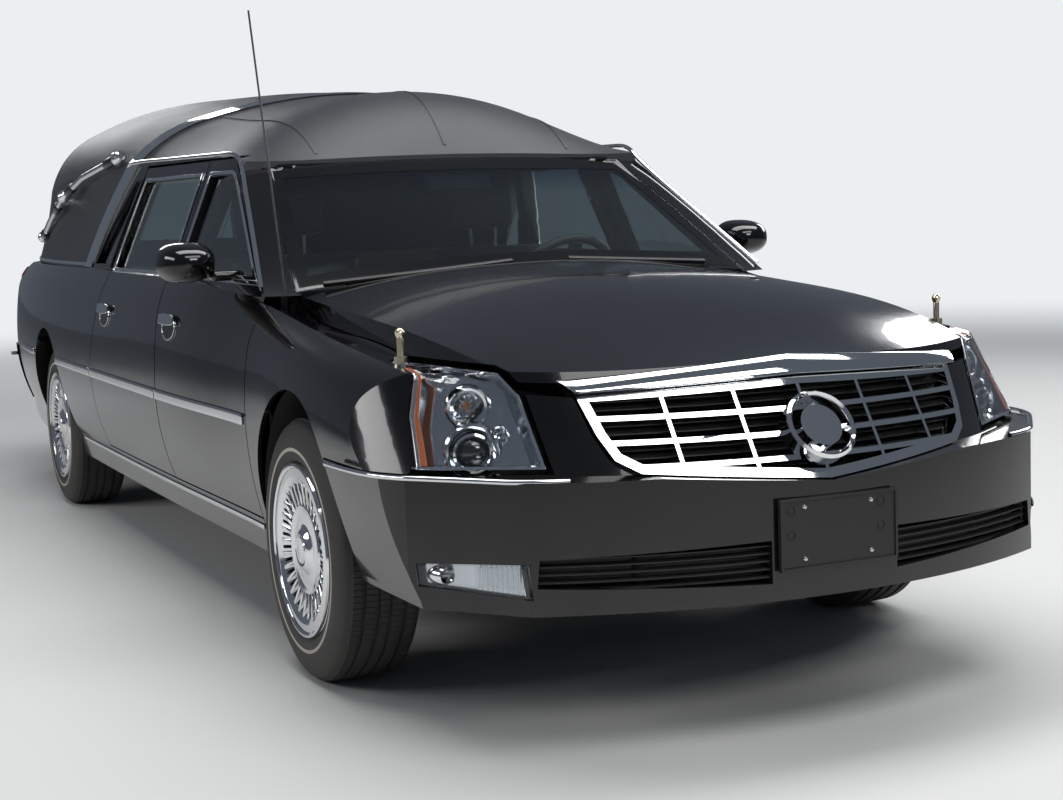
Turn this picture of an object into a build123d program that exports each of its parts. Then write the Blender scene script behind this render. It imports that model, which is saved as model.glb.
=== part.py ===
from build123d import *
from math import atan2, cos, hypot, radians, sin, tan
import os

os.makedirs("parts", exist_ok=True)

# Hearse. Millimetres, +X is the car's left, -Y is its front, +Z is up.
# The origin is on the ground, at the middle of the length and of the width.

# Overall sizes
wheelbase = 3480
front_overhang = 1180
rear_overhang = 1680
length = wheelbase + front_overhang + rear_overhang
nose_y = -length / 2
front_axle_y = nose_y + front_overhang
rear_axle_y = front_axle_y + wheelbase
tail_y = length / 2
track = 1590

# Wheels and tyres
tyre_radius = 350
tyre_width = 232
rim_radius = 216
cover_radius = 231
hub_bore_radius = 35

# Walls and gaps
coach_wall = 76
fender_wall = 12
hood_wall = 24
fascia_wall = 22
panel_gap = 6
door_gap = 8
seat_gap = 0.3
glass_thickness = 5
glass_depth = 12
skin_step = 6
shut_step = 16
band_proud = 7

# Heights of the body's lines
underside_z = 262
rocker_z = 352
waist_z = 665
belt_z = 1036
floor_z = 296
sill_top_z = 372

# Lower body, one row a cross-section: place behind the front axle, half width at the
# waist, half width at the rocker, then x and z of the shoulder, of the fender's crease,
# of the hood's cut line and of the hood's crease, and last the crown's z.
lower_rows = [
    (-1400, 880, 842, 852, 680, 772, 706, 700, 708, 560, 716, 744),
    (-900, 915, 862, 884, 736, 802, 795, 716, 800, 626, 834, 866),
    (-450, 929, 872, 904, 792, 815, 872, 738, 868, 698, 920, 953),
    (0, 926, 872, 906, 832, 819, 918, 738, 908, 728, 966, 1034),
    (450, 912, 868, 896, 852, 828, 976, 744, 950, 734, 998, 1072),
    (1000, 934, 876, 916, 890, 868, 1026, 790, 1034, 740, 1050, 1090),
    (1600, 948, 886, 928, 906, 880, 1036, 800, 1046, 740, 1062, 1094),
    (2400, 956, 890, 932, 912, 884, 1044, 806, 1052, 740, 1068, 1098),
    (3450, 954, 886, 930, 912, 876, 1044, 800, 1052, 740, 1068, 1098),
    (4100, 928, 862, 904, 908, 842, 1042, 770, 1052, 700, 1066, 1096),
    (4700, 872, 808, 850, 902, 776, 1036, 700, 1048, 630, 1060, 1088),
    (5400, 780, 716, 758, 894, 672, 1026, 600, 1038, 540, 1050, 1076),
]

# Pillars and coach roof, one row a cross-section: place behind the front axle, half
# width at the foot, top of side x and z, shoulder x and z, crown z.
pillar_rows = [
    (200, 822, 640, 1404, 400, 1404, 1412),
    (1100, 868, 694, 1404, 430, 1408, 1416),
]
coach_rows = [
    (1080, 868, 692, 1402, 430, 1404, 1412),
    (1160, 872, 696, 1414, 440, 1460, 1500),
    (1300, 878, 704, 1424, 440, 1526, 1600),
    (1650, 884, 724, 1430, 490, 1558, 1648),
    (2200, 888, 764, 1436, 570, 1594, 1690),
    (2800, 886, 822, 1428, 650, 1600, 1724),
    (3300, 882, 852, 1394, 690, 1590, 1744),
    (4000, 850, 786, 1372, 606, 1600, 1764),
    (4600, 776, 650, 1352, 470, 1590, 1752),
    (5300, 680, 490, 1330, 330, 1550, 1700),
]
coach_foot_z = 1000

# Tail, one row a plan outline: height, rearmost place behind the front axle.
tail_rows = [(150, 5105), (650, 5080), (1050, 5020), (1400, 4880), (1850, 4560)]
tail_bulge = 60
tail_corner = 190
tail_half_width = 960

# Nose, one row a plan outline: height, centre, inner corner x and place, lamp corner x
# and place, side x and place, all behind the front axle.
nose_rows = [
    (220, -1366, 588, -1118, 892, -1017, 1011, -610),
    (1240, -712, 654, -596, 754, -354, 852, -190),
]
bumper_plan = (-1157, 690, -990, 884, -752, 960, -440)

# Panel lines, behind the front axle and above the ground
bumper_top_z = 630
bumper_bottom_z = 336
bumper_arch_y = -318
arch_radius = 396
arch_lift = 30
door_bottom_z = 370
firewall_back = 360
front_door_back = 450
middle_door_back = 1420
rear_door_back = 2450
rear_door_top_back = 2290
hood_half_width = 732
hood_rear_centre = 326
hood_rear_corner = 440
drip_z = 1424
glass_top_z = 1362
glass_foot_z = 1056
coach_side_wall = 52

# Side windows: places behind the front axle and heights, round each opening
front_window = [(610, glass_foot_z), (1116, 1352), (1150, glass_top_z)]
front_window += [(1352, glass_top_z), (1352, glass_foot_z)]
rear_window = [(1460, glass_foot_z), (1460, glass_top_z), (2096, glass_top_z)]
rear_window += [(2250, glass_foot_z)]
quarter_window = [(2352, 1066), (2160, 1366), (2214, 1366), (2600, 1066)]

# Chrome band over the roof: its middle line in side view, and its width
band_foot = (2748, 1050)
band_head = (1850, 1814)
band_width = 82

# Windshield: foot and head on the centre line, cross curve and corners
windshield_foot = (372, 1058)
windshield_head = (1092, 1408)
windshield_sag_low = 175
windshield_sag_high = 14
windshield_half_foot = 748
windshield_half_head = 628
windshield_corner_rise = 52

# Side door hinges: the line's x at the waist, how far it lies behind each door's front
# edge, and its inward lean
front_hinge_x = 885
rear_hinge_x = 922
front_hinge_setback = 45
rear_hinge_setback = 60
hinge_lean = 3
hinge_heights = (600, 845)
hinge_pin_radius = 4
hinge_barrel_radius = 8
hinge_fit = 0.1
hinge_barrel_half = 12
hinge_leaf = 6

# Loading door
loading_half_foot = 560
loading_half_head = 400
loading_foot_z = 640
loading_head_z = 1590
loading_depth = 70
loading_gap = 8
loading_foot_back = 5070
loading_head_back = 4745
loading_flare_foot = 0.05
loading_flare_head = 0.42

# Loading door hinges, on arms off the skin
loading_hinge = (575, 5045)
loading_hinge_heights = (712, 940)
loading_pin_radius = 5
loading_barrel_radius = 10
loading_barrel_half = 12
loading_leaf = 10


def place(back):
    """The model's Y of a place given behind the front axle."""
    return front_axle_y + back


def cross_plane(back):
    """A plane across the car, with X to the left and Z up."""
    return Plane.XZ.offset(-place(back))


def lower_volume(inset, foot_z=underside_z):
    """The lower body without its front and rear ends, drawn in by the inset."""
    with BuildPart() as volume:
        for back, waist, rocker, *points, crown_z in lower_rows:
            pairs = list(zip(points[::2], points[1::2]))
            high = (pairs[0][0] - inset, pairs[0][1])
            edges = [(x - inset * 0.8, z - inset * 0.8) for x, z in pairs[1:]]
            foot = (rocker - 16 - inset, foot_z)
            rock = (rocker - inset, rocker_z)
            widest = (waist - inset, waist_z)
            with BuildSketch(cross_plane(back)):
                with BuildLine():
                    upper = TangentArc(widest, high, tangent=(0, 1))
                    shoulder = TangentArc(high, edges[0], tangent=upper % 1)
                    lower = TangentArc(widest, rock, tangent=(0, -1))
                    top = Line(edges[0], edges[1])
                    side = Line(edges[1], edges[2])
                    sill_line = Line(foot, rock)
                    mirror(about=Plane.YZ)
                    ThreePointArc(edges[2], (0, crown_z - inset), (-edges[2][0], edges[2][1]))
                    Line(foot, (-foot[0], foot_z))
                make_face()
        loft()
    return volume.part


def coach_volume(rows, inset, foot=coach_foot_z):
    """A run of pillars and roof as one solid, drawn in by the inset."""
    with BuildPart() as volume:
        for back, base, top, top_z, shoulder, shoulder_z, crown_z in rows:
            with BuildSketch(cross_plane(back)):
                with BuildLine():
                    shoulder_end = (shoulder - inset * 0.4, shoulder_z - inset * 0.9)
                    shoulder_start = (-shoulder_end[0], shoulder_end[1])
                    crown = ThreePointArc(shoulder_start, (0, crown_z - inset), shoulder_end)
                    top_end = (top - inset, top_z - inset * 0.4)
                    TangentArc(shoulder_end, top_end, tangent=crown % 1)
                    slant = (base - top) / (top_z - inset * 0.4 - coach_foot_z)
                    foot_x = base - inset + slant * (coach_foot_z - foot)
                    Polyline(top_end, (foot_x, foot), (-foot_x, foot), (-top_end[0], top_end[1]))
                    leave = crown % 0
                    TangentArc(shoulder_start, (-top_end[0], top_end[1]), tangent=(-leave.X, -leave.Y))
                make_face()
        loft()
    return volume.part


def tail_volume(inset):
    """Everything ahead of the rear face, drawn in by the inset."""
    with BuildPart() as volume:
        for height, rearmost in tail_rows:
            rear = place(rearmost) - inset
            half = tail_half_width - inset
            with BuildSketch(Plane.XY.offset(height)):
                with BuildLine():
                    Line((-half, nose_y - 200), (half, nose_y - 200))
                    Line((half, nose_y - 200), (half, rear - 560))
                    RadiusArc((half, rear - 560), (half - 300, rear - tail_bulge), -520)
                    ThreePointArc((half - 300, rear - tail_bulge), (0, rear), (-half + 300, rear - tail_bulge))
                    RadiusArc((-half + 300, rear - tail_bulge), (-half, rear - 560), -520)
                    Line((-half, rear - 560), (-half, nose_y - 200))
                make_face()
        loft()
    return volume.part


def plan_face(height, outline, inset):
    """One plan outline of the nose, closed well behind the firewall."""
    centre, inner, inner_back, lamp, lamp_back, side, side_back = outline
    inner_y = place(inner_back) + inset
    lamp_x = lamp - inset * 0.7
    lamp_y = place(lamp_back) + inset * 0.7
    side_x = side - inset
    side_y = place(side_back)
    turn_x = 0.27 * lamp + 0.73 * side - inset * 0.9
    turn_y = 0.55 * lamp_y + 0.45 * side_y
    with BuildSketch(Plane.XY.offset(height)) as face:
        with BuildLine():
            ThreePointArc((-inner, inner_y), (0, place(centre) + inset), (inner, inner_y))
            for hand in (1, -1):
                Line((hand * inner, inner_y), (hand * lamp_x, lamp_y))
                ThreePointArc((hand * lamp_x, lamp_y), (hand * turn_x, turn_y), (hand * side_x, side_y))
                Line((hand * side_x, side_y), (hand * side_x, place(1500)))
            Line((side_x, place(1500)), (-side_x, place(1500)))
        make_face()
    return face.sketch


def nose_volume(inset):
    """Everything behind the raked face of grille and lamps, drawn in by the inset."""
    rows = [plan_face(height, outline, inset) for height, *outline in nose_rows]
    with BuildPart() as volume:
        loft(rows, ruled=True)
    return volume.part


def bumper_volume(inset):
    """Everything behind the bumper's upright face and its lip, drawn in by the inset."""
    with BuildPart() as volume:
        add(plan_face(bumper_bottom_z + inset, bumper_plan, inset))
        extrude(amount=bumper_top_z - bumper_bottom_z - 2 * inset)
    return volume.part


def side_prism(outline, near=300, far=1100):
    """A side-view outline pushed across the car, between two places left of its middle."""
    with BuildPart() as prism:
        with BuildSketch(Plane.YZ.offset(near)):
            Polygon(*[(place(back), height) for back, height in outline], align=None)
        extrude(amount=far - near)
    return prism.part


def front_prism(outline, start=-1500, end=-300):
    """A front-view outline pushed along the car."""
    with BuildPart() as prism:
        with BuildSketch(Plane.XZ.offset(-place(end))):
            Polygon(*outline, align=None)
        extrude(amount=end - start)
    return prism.part


def both_hands(outline):
    """A front-view outline closed by its mirror image."""
    return outline + [(-x, height) for x, height in reversed(outline) if x > 0]


def arch_cylinder(axle_y, radius=arch_radius):
    """The opening of one wheel arch, right across the car."""
    with BuildPart() as arch:
        with BuildSketch(Plane.YZ.offset(-1100)):
            with Locations((axle_y, tyre_radius + arch_lift)):
                Circle(radius)
        extrude(amount=2200)
    return arch.part


def block(x_range, back_range, z_range):
    """A box given by its ranges across, behind the front axle and above the ground."""
    across = x_range[1] - x_range[0]
    along = back_range[1] - back_range[0]
    middle = ((x_range[0] + x_range[1]) / 2, place((back_range[0] + back_range[1]) / 2))
    with BuildPart() as piece:
        with BuildSketch(Plane.XY.offset(z_range[0])):
            with Locations(middle):
                Rectangle(across, along)
        extrude(amount=z_range[1] - z_range[0])
    return piece.part


def rod(start, end, radius):
    """A round bar between two points."""
    axis = Vector(*end) - Vector(*start)
    with BuildPart() as bar:
        with BuildSketch(Plane(origin=start, z_dir=axis)):
            Circle(radius)
        extrude(amount=axis.length)
    return bar.part


# Master volumes that the panels are cut from
lower_outer = lower_volume(0)
lower_inner = lower_volume(coach_wall, underside_z - 60)
pillar_outer = coach_volume(pillar_rows, 0)
pillar_inner = coach_volume(pillar_rows, 52, 900)
coach_outer = coach_volume(coach_rows, 0)
coach_inner = coach_volume(coach_rows, 52, 900)
tail_outer = tail_volume(0)
tail_inner = tail_volume(loading_depth)
nose_outer = nose_volume(0)
front_arch = arch_cylinder(front_axle_y)
rear_arch = arch_cylinder(rear_axle_y)

# Windshield plane: X across, Z up the slope, Y into the cabin
slope_run = windshield_head[0] - windshield_foot[0]
slope_rise = windshield_head[1] - windshield_foot[1]
slope_length = hypot(slope_run, slope_rise)
windshield_plane = Plane(
    origin=(0, place(windshield_foot[0]), windshield_foot[1]),
    x_dir=(1, 0, 0),
    z_dir=(0, slope_run, slope_rise),
)


def glass_layer(near, far, half=1000):
    """The layer between two depths behind the curved face of the windshield."""
    with BuildPart() as layer:
        for up, sag in ((-200, windshield_sag_low), (slope_length + 300, windshield_sag_high)):
            with BuildSketch(windshield_plane.offset(up)):
                with BuildLine():
                    ThreePointArc((-half, near + sag), (0, near), (half, near + sag))
                    Line((half, near + sag), (half, far + sag))
                    ThreePointArc((half, far + sag), (0, far), (-half, far + sag))
                    Line((-half, far + sag), (-half, near + sag))
                make_face()
        loft(ruled=True)
    return layer.part


def windshield_outline(grow):
    """The outline of the windshield pushed through its plane, grown by a margin."""
    face_plane = Plane(
        origin=windshield_plane.origin - windshield_plane.y_dir * 100,
        x_dir=(1, 0, 0),
        z_dir=windshield_plane.y_dir,
    )
    foot = windshield_half_foot + grow
    head = windshield_half_head + grow
    corner = windshield_corner_rise - grow
    high = slope_length - 18 + grow
    with BuildPart() as prism:
        with BuildSketch(face_plane) as outline:
            with BuildLine():
                ThreePointArc((-foot, -corner), (0, grow), (foot, -corner))
                Polyline((foot, -corner), (head, -high), (-head, -high), (-foot, -corner))
            make_face()
            fillet(outline.vertices().group_by(Axis.Y)[0], 60)
        extrude(amount=500)
    return prism.part


with BuildPart() as windshield:
    add(glass_layer(2, 2 + glass_thickness))
    add(windshield_outline(-seat_gap), mode=Mode.INTERSECT)

# Side doors of the left side
front_low = [(front_door_back, 1100), (front_door_back, door_bottom_z)]
front_low += [(middle_door_back - door_gap, door_bottom_z), (middle_door_back - door_gap, 1100)]
rear_low = [(middle_door_back, 1100), (middle_door_back, door_bottom_z)]
rear_door_edge = [(rear_door_back, door_bottom_z), (rear_door_back, 690), (rear_door_back - 36, 800)]
rear_door_edge += [(rear_door_top_back, 1060), (rear_door_top_back, 1100)]
rear_low += rear_door_edge
door_head_z = drip_z - 9
front_high = [(492, 1000), (1176, door_head_z), (middle_door_back - door_gap, door_head_z)]
front_high += [(middle_door_back - door_gap, 1000)]
rear_high = [(middle_door_back, 1000), (middle_door_back, door_head_z), (2120, door_head_z)]
rear_high += [(2316, 1000)]
door_inner_x = 806
frame_inner_x = 640

# Side glass lies a little behind the frames' faces
with BuildPart() as glass_shell_outer:
    add(coach_volume(pillar_rows, glass_depth))
    add(coach_volume(coach_rows, glass_depth))
with BuildPart() as glass_shell_inner:
    add(coach_volume(pillar_rows, glass_depth + glass_thickness, 900))
    add(coach_volume(coach_rows, glass_depth + glass_thickness, 900))
glass_outer = glass_shell_outer.part
glass_inner = glass_shell_inner.part
door_step_core = lower_volume(skin_step)
frame_step_core = coach_volume(coach_rows, skin_step)

with BuildPart() as cabin_core:
    add(lower_inner)
    add(coach_inner)
    add(pillar_inner)


def strip(edge, width):
    """A side-view strip of a width ahead of an edge that is given upwards."""
    return edge + [(back - width, height) for back, height in reversed(edge)]


def door(low, high, opening, low_edge, high_edge, hinge_x, setback):
    """A side door with its window frame; its rear shut face steps forward behind the skin."""
    with BuildPart() as skin:
        add(lower_outer)
        add(side_prism(low, door_inner_x), mode=Mode.INTERSECT)
    with BuildPart() as frame:
        add(pillar_outer)
        add(coach_outer)
        add(side_prism(high, frame_inner_x), mode=Mode.INTERSECT)
        add(side_prism(opening), mode=Mode.SUBTRACT)
    with BuildPart() as panel:
        add(skin.part)
        add(frame.part)
        add(cabin_core.part, mode=Mode.SUBTRACT)
        add(rear_step(door_step_core, low_edge), mode=Mode.SUBTRACT)
        add(rear_step(frame_step_core, high_edge), mode=Mode.SUBTRACT)
        add(front_room(low[0][0], setback), mode=Mode.SUBTRACT)
        add(hinge_knuckles(hinge_x, low[0][0] + setback))
    return panel.part


def hinge_point(hinge_x, back, height):
    """The point of a side door's hinge line at a height above the ground."""
    return Vector(hinge_x - (height - waist_z) * tan(radians(hinge_lean)), place(back), height)


def hinge_plane(hinge_x, back, height):
    """A plane square to a side door's hinge line."""
    line = hinge_point(hinge_x, back, height + 100) - hinge_point(hinge_x, back, height)
    return Plane(origin=hinge_point(hinge_x, back, height), x_dir=(1, 0, 0), z_dir=line)


def hinge_knuckles(hinge_x, back):
    """The door's half of its hinges: two bored barrels with a web to the shut face."""
    with BuildPart() as knuckles:
        for height in hinge_heights:
            with BuildSketch(hinge_plane(hinge_x, back, height - hinge_barrel_half)):
                Circle(hinge_barrel_radius)
                with Locations((0, hinge_barrel_half)):
                    Rectangle(hinge_barrel_radius, 2 * hinge_barrel_half)
                Circle(hinge_pin_radius + hinge_fit, mode=Mode.SUBTRACT)
            extrude(amount=2 * hinge_barrel_half)
    return knuckles.part


def hinge_leaves(hinge_x, back):
    """The body's half: a pin held between two leaves that reach in to the pillar."""
    with BuildPart() as leaves:
        for height in hinge_heights:
            reach = hinge_barrel_half + seat_gap
            for start in (-reach - hinge_leaf, reach):
                with BuildSketch(hinge_plane(hinge_x, back, height + start)):
                    Circle(hinge_barrel_radius)
                    with Locations((-40, 0)):
                        Rectangle(80, 2 * hinge_barrel_radius - 2)
                extrude(amount=hinge_leaf)
            foot = hinge_point(hinge_x, back, height - reach - 1)
            add(rod(foot, hinge_point(hinge_x, back, height + reach + 1), hinge_pin_radius))
    return leaves.part


def front_room(edge_back, setback):
    """The room round the hinges, behind the skin of a door's front edge."""
    near_back = edge_back - 10
    far_back = edge_back + setback + hinge_barrel_half + 1
    with BuildPart() as room:
        add(door_step_core)
        outline = [(near_back, 300), (far_back, 300), (far_back, belt_z - 40), (near_back, belt_z - 40)]
        add(side_prism(outline, frame_inner_x), mode=Mode.INTERSECT)
    return room.part


def rear_step(core, edge):
    """The room behind the skin along a door's rear edge, where the shut face steps."""
    with BuildPart() as room:
        add(core)
        add(side_prism(strip(edge, shut_step), frame_inner_x - 60), mode=Mode.INTERSECT)
    return room.part


def door_glass(opening):
    """The glass that fills a side window, a little behind the frame's face."""
    with BuildPart() as pane:
        add(glass_outer)
        add(side_prism(opening), mode=Mode.INTERSECT)
        add(glass_inner, mode=Mode.SUBTRACT)
    return pane.part


front_rear_edge = [(middle_door_back - door_gap, door_bottom_z), (middle_door_back - door_gap, 1010)]
front_frame_edge = [(middle_door_back - door_gap, 1010), (middle_door_back - door_gap, drip_z)]
rear_frame_edge = [(2316, 1000), (2120, door_head_z), (2120, drip_z)]
front_door_left = door(
    front_low,
    front_high,
    front_window,
    front_rear_edge,
    front_frame_edge,
    front_hinge_x,
    front_hinge_setback,
)
rear_door_left = door(
    rear_low,
    rear_high,
    rear_window,
    rear_door_edge,
    rear_frame_edge,
    rear_hinge_x,
    rear_hinge_setback,
)

front_glass_left = door_glass(front_window)
rear_glass_left = door_glass(rear_window)
quarter_glass_left = door_glass(quarter_window)


def tail_prism(half_foot, half_head, foot_z, head_z):
    """A rear-view outline pushed along the car; its sides flare so that the door can swing."""
    with BuildPart() as prism:
        for back in (3900, 5400):
            foot_x = half_foot + loading_flare_foot * (back - loading_foot_back)
            head_x = half_head + loading_flare_head * (back - loading_head_back)
            with BuildSketch(cross_plane(back)):
                Polygon(
                    (foot_x, foot_z),
                    (head_x, head_z),
                    (-head_x, head_z),
                    (-foot_x, foot_z),
                    align=None,
                )
        loft(ruled=True)
    return prism.part


loading_opening = tail_prism(
    loading_half_foot + loading_gap,
    loading_half_head + loading_gap,
    loading_foot_z - loading_gap,
    loading_head_z + loading_gap,
)

roof_run = [(1080, drip_z - 60), (1168, drip_z), (2350, drip_z), (2560, 1244), (2728, 1046)]
roof_run += [(5400, 1046), (5400, 1900), (1080, 1900)]
# Side frame of the left side: sill, pillars, quarter panel and the wall over it
sill_run = [(front_door_back, underside_z), (3070, underside_z), (3070, door_bottom_z - panel_gap)]
sill_run += [(front_door_back, door_bottom_z - panel_gap)]
quarter_run = [(rear_door_back + panel_gap, underside_z), (5400, underside_z), (5400, 1046)]
quarter_run += [(rear_door_top_back + 14, 1046)]
quarter_run += [(rear_door_back - 36 + panel_gap, 802), (rear_door_back + panel_gap, 690)]
a_pillar_run = [(200, 940), (484, 1000), (1168, drip_z), (1100, 1480), (200, 1480)]
a_pillar_inner_run = [(200, 940), (560, 1000), (1244, drip_z), (1100, 1480), (200, 1480)]
upper_run = [(2304, 1046), (2728, 1046), (2560, 1244), (2350, drip_z), (2126, drip_z)]
post_outer = lower_volume(coach_wall + panel_gap)
post_inner = lower_volume(coach_wall + 52, underside_z - 60)
post_upper_outer = coach_volume(coach_rows, coach_side_wall + panel_gap, 900)
post_upper_inner = coach_volume(coach_rows, coach_side_wall + 40, 880)
b_post_run = [(1376, sill_top_z - 8), (1490, sill_top_z - 8), (1490, 940), (1376, 940)]
b_post_upper_run = [(1372, 925), (1412, 925), (1412, drip_z - 2), (1372, drip_z - 2)]
hinge_post_run = [(407, sill_top_z - 8), (508, sill_top_z - 8), (508, 940), (407, 900)]
cowl_side_x = 690

with BuildPart() as sill:
    add(lower_outer)
    add(side_prism(sill_run, 700), mode=Mode.INTERSECT)
with BuildPart() as sill_top:
    add(lower_volume(coach_wall + panel_gap))
    sill_top_run = [(410, 352), (3070, 352), (3070, sill_top_z), (410, sill_top_z)]
    add(side_prism(sill_top_run, 700), mode=Mode.INTERSECT)
with BuildPart() as quarter:
    add(lower_outer)
    add(side_prism(quarter_run, 300), mode=Mode.INTERSECT)
    add(tail_outer, mode=Mode.INTERSECT)
with BuildPart() as upper_wall:
    add(coach_outer)
    add(side_prism(upper_run, 560), mode=Mode.INTERSECT)
    add(side_prism(quarter_window), mode=Mode.SUBTRACT)
with BuildPart() as rear_core:
    add(cabin_core.part)
    add(tail_inner, mode=Mode.INTERSECT)
with BuildPart() as a_pillar_inner:
    add(coach_volume(pillar_rows, coach_side_wall + panel_gap))
    add(side_prism(a_pillar_inner_run, 600), mode=Mode.INTERSECT)
    add(glass_layer(0, 80), mode=Mode.INTERSECT)
    add(windshield_outline(0), mode=Mode.SUBTRACT)
with BuildPart() as cowl_side:
    add(coach_volume(pillar_rows, coach_side_wall + 3 * panel_gap, 900))
    add(side_prism([(456, 902), (640, 902), (640, 1020), (456, 1020)], cowl_side_x), mode=Mode.INTERSECT)
    add(glass_layer(9, 400), mode=Mode.INTERSECT)
with BuildPart() as a_pillar:
    add(pillar_outer)
    add(side_prism(a_pillar_run, 600), mode=Mode.INTERSECT)
    add(glass_layer(0, 60), mode=Mode.INTERSECT)
    add(windshield_outline(0), mode=Mode.SUBTRACT)
    add(a_pillar_inner.part)
    add(side_prism(roof_run, 300), mode=Mode.SUBTRACT)


def post(source, inner, run, near=780):
    """A pillar behind the doors: a slice of the wall between two inner surfaces."""
    with BuildPart() as slice_of_wall:
        add(source)
        add(side_prism(run, near), mode=Mode.INTERSECT)
        add(inner, mode=Mode.SUBTRACT)
    return slice_of_wall.part


with BuildPart() as side_frame_left:
    add(quarter.part)
    add(upper_wall.part)
    add(rear_core.part, mode=Mode.SUBTRACT)
    add(rear_arch, mode=Mode.SUBTRACT)
    add(loading_opening, mode=Mode.SUBTRACT)
    add(sill.part)
    add(sill_top.part)
    add(a_pillar.part)
    add(cowl_side.part)
    add(post(post_outer, post_inner, b_post_run))
    add(post(post_upper_outer, post_upper_inner, b_post_upper_run, 640))
    add(post(post_outer, post_inner, hinge_post_run))
    add(hinge_leaves(front_hinge_x, front_door_back + front_hinge_setback))
    add(hinge_leaves(rear_hinge_x, middle_door_back + rear_hinge_setback))


# Coach roof and landau panels, with the loading door's opening
with BuildPart() as coach_hollow:
    add(coach_inner)
    add(tail_inner, mode=Mode.INTERSECT)
with BuildPart() as roof:
    add(coach_outer)
    add(side_prism(roof_run, -1100), mode=Mode.INTERSECT)
    add(tail_outer, mode=Mode.INTERSECT)
    add(coach_hollow.part, mode=Mode.SUBTRACT)
    add(loading_opening, mode=Mode.SUBTRACT)
    add(windshield_outline(0), mode=Mode.SUBTRACT)

# Chrome band over the roof
lean = atan2(band_foot[0] - band_head[0], band_head[1] - band_foot[1])
half_run = band_width / 2 / cos(lean)
band_run = [(band_foot[0] - half_run, band_foot[1]), (band_foot[0] + half_run, band_foot[1])]
band_run += [(band_head[0] + half_run, band_head[1]), (band_head[0] - half_run, band_head[1])]
with BuildPart() as roof_band:
    add(coach_volume(coach_rows, -band_proud))
    add(side_prism(band_run, -1100), mode=Mode.INTERSECT)
    add(coach_outer, mode=Mode.SUBTRACT)

# Loading door, cut from the tail's wall, with its window
loading_window = [(330, 1120), (270, 1450), (-270, 1450), (-330, 1120)]
loading_window_prism = front_prism(loading_window, 3900, 5400)
loading_prism = tail_prism(loading_half_foot, loading_half_head, loading_foot_z, loading_head_z)
with BuildPart() as loading_door:
    add(lower_outer)
    add(coach_outer)
    add(tail_outer, mode=Mode.INTERSECT)
    add(loading_prism, mode=Mode.INTERSECT)
    add(tail_inner, mode=Mode.SUBTRACT)
    add(loading_window_prism, mode=Mode.SUBTRACT)


def upright(height, amount, boxes, hole=0):
    """A flat of the loading door's hinge: a disc round its line with arms, and a hole."""
    centre = (loading_hinge[0], place(loading_hinge[1]))
    with BuildPart() as flat:
        with BuildSketch(Plane.XY.offset(height)):
            with Locations(centre):
                Circle(loading_barrel_radius)
            for x_low, x_high, back_low, back_high in boxes:
                with Locations(((x_low + x_high) / 2, place((back_low + back_high) / 2))):
                    Rectangle(x_high - x_low, back_high - back_low)
            if hole:
                with Locations(centre):
                    Circle(hole, mode=Mode.SUBTRACT)
        extrude(amount=amount)
    return flat.part


arm_boxes = [(484, 568, 5037, 5053), (484, 508, 4976, 5053)]
leaf_boxes = [(567, 583, 4970, 5045)]
with BuildPart() as loading_arms:
    for height in loading_hinge_heights:
        hole = loading_pin_radius + hinge_fit
        foot_z = height - loading_barrel_half
        add(upright(foot_z, 2 * loading_barrel_half, arm_boxes, hole))
with BuildPart() as loading_leaves:
    for height in loading_hinge_heights:
        reach = loading_barrel_half + seat_gap
        for foot_z in (height - reach - loading_leaf, height + reach):
            add(upright(foot_z, loading_leaf, leaf_boxes))
        pin_foot = (loading_hinge[0], place(loading_hinge[1]), height - reach - 1)
        pin_head = (loading_hinge[0], place(loading_hinge[1]), height + reach + 1)
        add(rod(pin_foot, pin_head, loading_pin_radius))
with BuildPart() as loading_glass:
    add(tail_volume(glass_depth))
    add(loading_window_prism, mode=Mode.INTERSECT)
    add(tail_volume(glass_depth + glass_thickness), mode=Mode.SUBTRACT)

# Front end. Outlines in front view: x and z.
lamp_outline = [(600, 643), (846, 643), (830, 760), (792, 872), (652, 858), (622, 806)]
grille_outline = [(0, 596), (430, 632), (478, 662), (500, 716), (521, 812), (0, 826)]
bumper_face = [(0, 560), (700, 560), (700, 634), (590, 634), (611, 804), (619, 809), (530, 800), (0, 812)]

lower_grille_outline = [(168, 376), (676, 398), (670, 462), (168, 474)]
fog_outline = [(684, 372), (868, 388), (872, 440), (690, 452)]
lamp_depth = 90
nose_inner = nose_volume(fascia_wall)
fascia_inner = lower_volume(fascia_wall, underside_z - 60)
fender_inner = lower_volume(fender_wall, underside_z - 60)
bumper_lip_depth = 70
bumper_run = [(-1400, bumper_bottom_z), (-1400, bumper_top_z), (bumper_arch_y, bumper_top_z)]
bumper_run += [(bumper_arch_y, bumper_bottom_z)]


def front_pair(outline, start=-1500, end=-300):
    """A front-view outline and its mirror image, pushed along the car."""
    with BuildPart() as pair:
        add(front_prism(outline, start, end))
        mirror(about=Plane.YZ)
    return pair.part


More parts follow.
